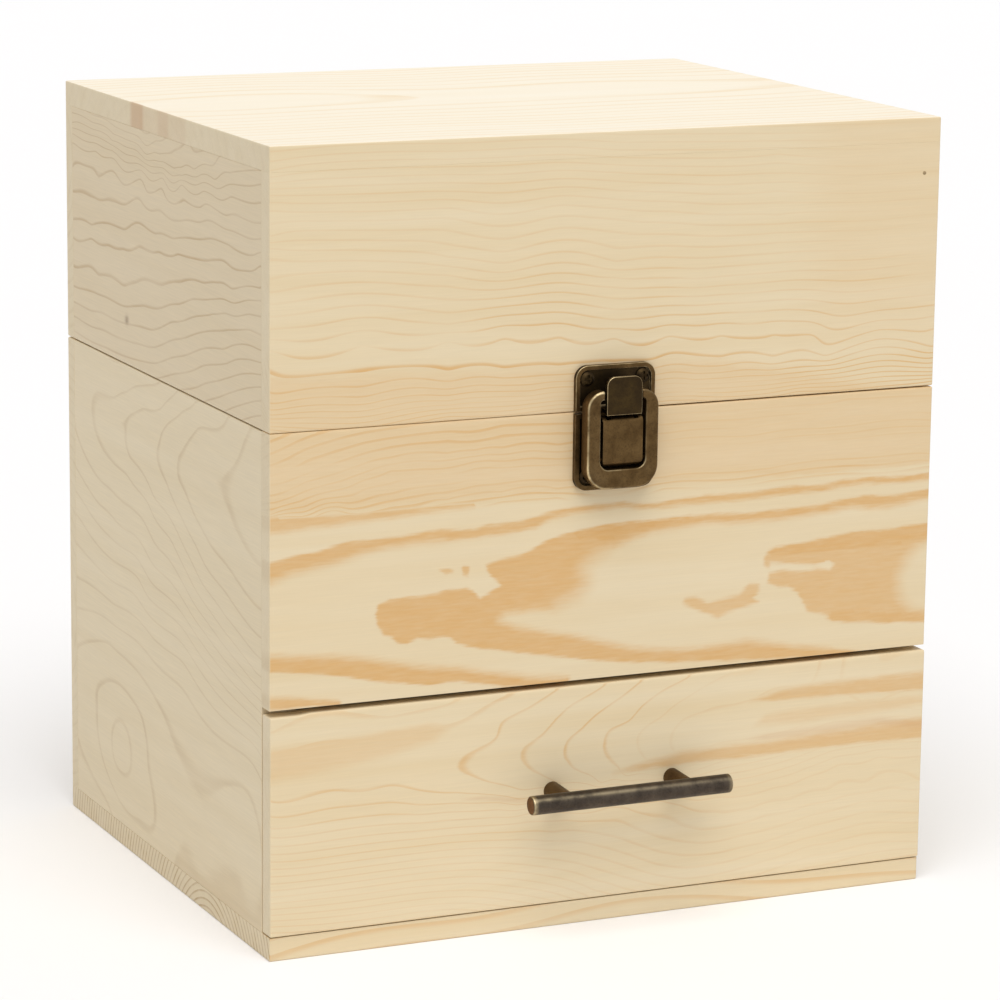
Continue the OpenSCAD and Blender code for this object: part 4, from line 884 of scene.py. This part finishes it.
def turned_bar():
    """Handle bar as a surface of revolution: the radius over the length, with round shoulders, turned in a circle.

    Rubbed brass is a gaussian round each shoulder, painted highlight a gaussian along the crest 2.4 rad from the back.
    """
    low, high = corners("handle_bar")
    r, half = (high[2] - low[2]) / 2, (high[0] - low[0]) / 2
    shoulder, around, length = 0.7, 64, 30
    turn = np.linspace(0, math.pi / 2, 8)
    along = np.r_[0.0, 0.0, shoulder * (1 - np.cos(turn)), np.linspace(shoulder, half, length)[1:]]
    radius = np.r_[0.5 * r, r - shoulder - 0.1, r - shoulder + shoulder * np.sin(turn), np.full(length - 1, r)]
    along, radius = np.r_[along, 2 * half - along[-2::-1]], np.r_[radius, radius[-2::-1]]
    angle = np.linspace(2 * math.pi, 0, around, endpoint=False)
    middle = (low + high) / 2
    grid = np.stack([
        np.repeat(low[0] + along, around).reshape(-1, around),
        middle[1] + radius[:, None] * np.cos(angle),
        middle[2] + radius[:, None] * np.sin(angle),
    ], -1)
    points, faces = capped(grid)
    left, right = ((way - 0.5) / 0.3 for way in (along, 2 * half - along))
    rub_and_highlight = 0.6 * np.exp(-(left**2)) + 0.3 * np.exp(-(right**2))
    # A painted highlight along the upper front of the bar
    crest = 0.3 * np.exp(-(((angle - 2.4) / 0.2) ** 2))
    crest = crest * np.interp(along, (0, 2, 40, 2 * half), (0, 1, 0.6, 0.3))[:, None]
    wear = {"wear": np.r_[(rub_and_highlight[:, None] + crest).ravel(), 0, 0]}
    # Both ends are coppery
    at_end = np.abs(np.repeat((along[1:] + along[:-1]) / 2, around) - half) > half - 0.1
    kinds = np.r_[at_end, np.ones(2 * around, bool)]
    materials = [TURNED, COPPERY]
    piece("handle_bar_turned", points, faces, "drawer", "handle_bar", materials, wear, kinds)


cast_ring()
turned_bar()


# Pieces taken over from the CAD model


def taken(node, body, slot, materials, ease, settle=None, choose=None):
    """Copy of a CAD node, its triangles merged to plain faces, with eased edges that take the last material.

    Settle moves the points, in mm, and choose gives each face's material from the faces' middles, in mm.
    """
    work = bmesh.new()
    work.from_mesh(frame["nodes"][node].data)
    bmesh.ops.remove_doubles(work, verts=work.verts, dist=1e-6)
    bmesh.ops.dissolve_limit(work, angle_limit=math.radians(0.5), verts=work.verts, edges=work.edges)
    mesh = bpy.data.meshes.new(node + "_skin")
    work.to_mesh(mesh)
    work.free()
    mesh.materials.clear()
    for each in materials:
        mesh.materials.append(each)
    if settle is not None:
        points = np.empty(3 * len(mesh.vertices))
        mesh.vertices.foreach_get("co", points)
        mesh.vertices.foreach_set("co", MM * settle(points.reshape(-1, 3) / MM).ravel())
    kinds = np.zeros(len(mesh.polygons), np.int32)
    if choose is not None:
        middles = np.empty(3 * len(mesh.polygons))
        mesh.polygons.foreach_get("center", middles)
        kinds = choose(middles.reshape(-1, 3) / MM).astype(np.int32)
    mesh.polygons.foreach_set("material_index", kinds)
    mesh.polygons.foreach_set("use_smooth", np.ones(len(mesh.polygons), bool))
    sharp = math.radians(32)
    mesh.set_sharp_from_angle(angle=sharp)
    obj = placed(node + "_skin", mesh, body, node)
    if ease:
        rim = obj.modifiers.new("eased_edges", "BEVEL")
        rim.width, rim.segments, rim.limit_method = ease * MM, 2, "ANGLE"
        rim.angle_limit = sharp
        rim.material = len(materials) - 1


def driven(points):
    """Brad heads set 0.4 mm under the faces and filled, apart from the one on the lid's front that shows."""
    showing = (np.hypot(points[:, 0] - BRAD_X, points[:, 2] - BRAD_Z) < 2) & (points[:, 1] < 0)
    under = np.clip(points[:, 1], body_box[0][1] + 0.4, body_box[1][1] - 0.4)
    points[:, 1] = np.where(showing, points[:, 1], under)
    return points


def dished(middles):
    """Blackened where the latch's sheet is sunk inside its rim, and on the tongue."""
    proud = body_box[0][1] - middles[:, 1]
    return (np.abs(proud - 1.0) < 0.05) | (proud > 2.2)


bodies = {node: body for body, nodes in frame["record"]["behaviour"]["bodies"].items() for node in nodes}
shown = {obj.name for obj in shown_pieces()}
# Words in a node's name, then its slot, materials and ease in mm. The first row with a word that fits is taken.
KINDS = (
    (("brads",), "steel", [BRAD], 0, {"settle": driven}),
    (("handle_screws",), "steel", [STEEL], 0.12, {}),
    (("catch_screws", "latch_base_screws"), "bronze", [DARK], 0.12, {}),
    (("catch_plate", "latch_base"), "bronze", [BRONZE, DARK, RUBBED_AND_HIGHLIT], 0.28, {"choose": dished}),
    (("latch",), "bronze", [BRONZE, RUBBED_AND_HIGHLIT], 0.28, {}),
    (("handle",), "bronze", [BRONZE, RUBBED_AND_HIGHLIT], 0.2, {}),
    (("hinge",), "bronze", [BRONZE, RUBBED_AND_HIGHLIT], 0.15, {}),
    (("shelf", "drawer_bottom", "tray_bottom"), "plywood", [PLYWOOD], 0.15, {}),
    (("cross", "tray_left", "tray_right", "tray_ledge", "tray_divider"), "pine", [PINE_Y], 0.3, {}),
    (("drawer_left", "drawer_right"), "pine", [PINE_Y], 0.3, {}),
    (("",), "pine", [PINE_X], 0.3, {}),
)
for node in sorted(set(frame["nodes"]) & shown):
    _, slot, materials, ease, more = next(kind for kind in KINDS if any(word in node for word in kind[0]))
    taken(node, bodies[node], slot, materials, ease, **more)


# Floor, light and camera


def floor():
    """White floor, a flat grid of points 60 m wide."""
    lines = np.linspace(-30, 30, 9)
    u, v = np.meshgrid(lines, lines, indexing="ij")
    mesh = bpy.data.meshes.new("floor")
    mesh.from_pydata(np.c_[u.ravel(), v.ravel(), np.zeros(u.size)].tolist(), [], grid_faces(u.shape).tolist())
    mesh.materials.append(paper("paper_white_matt"))
    obj = bpy.data.objects.new("floor", mesh)
    scene.collection.objects.link(obj)


def lamp(name, way, strength, spread):
    """Distant soft light from a way, as wide as spread in degrees, so that it falls evenly on the whole floor."""
    data = bpy.data.lights.new(name, "SUN")
    data.energy, data.angle = strength, math.radians(spread)
    obj = bpy.data.objects.new(name, data)
    way = np.array(way, float) / np.linalg.norm(way)
    side = np.cross((0, 0, 1), way)
    side /= np.linalg.norm(side)
    turn = np.eye(4)
    turn[:3, 0], turn[:3, 1], turn[:3, 2] = side, np.cross(way, side), way
    obj.matrix_world = turn.T.tolist()
    scene.collection.objects.link(obj)


def sky():
    """White surroundings for the camera and for reflections, and a dimmer even light for everything else."""
    even = 0.5
    world = bpy.data.worlds.new("studio")
    scene.world = world
    world.use_nodes = True
    world.node_tree.nodes.clear()
    node = partial(add, world.node_tree)
    seen = node("LightPath", {}, "Is Camera Ray")
    for ray in ("Is Glossy Ray", "Is Transmission Ray"):
        seen = node("Math", {0: seen, 1: node("LightPath", {}, ray)}, operation="MAXIMUM")
    strength = node("Math", {0: seen, 1: 1 - even, 2: even}, operation="MULTIPLY_ADD")
    node("OutputWorld", {0: node("Background", {"Color": (1.0, 1.0, 1.0, 1.0), "Strength": strength})})


def camera():
    """Camera at the place and angle found from the box's edges in the photograph."""
    data = bpy.data.cameras.new("camera")
    data.sensor_width, data.lens, data.clip_end = 36.0, 150.55, 50.0
    obj = bpy.data.objects.new("camera", data)
    turn, rise, roll = (math.radians(a) for a in (-24.56, 11.94, 0.66))
    back = np.array([math.sin(turn) * math.cos(rise), -math.cos(turn) * math.cos(rise), math.sin(rise)])
    right = np.cross(-back, (0, 0, 1))
    right /= np.linalg.norm(right)
    up = np.cross(right, -back)
    place = np.eye(4)
    place[:3, 0] = math.cos(roll) * right + math.sin(roll) * up
    place[:3, 1] = -math.sin(roll) * right + math.cos(roll) * up
    place[:3, 2], place[:3, 3] = back, np.array([-602.1, -1328.5, 434.9]) * MM
    obj.matrix_world = place.T.tolist()
    scene.collection.objects.link(obj)
    scene.camera = obj


floor()
sky()
lamp("key", (-0.15, -0.42, 0.89), 1.85, 50)
camera()
scene.view_settings.view_transform = "Standard"
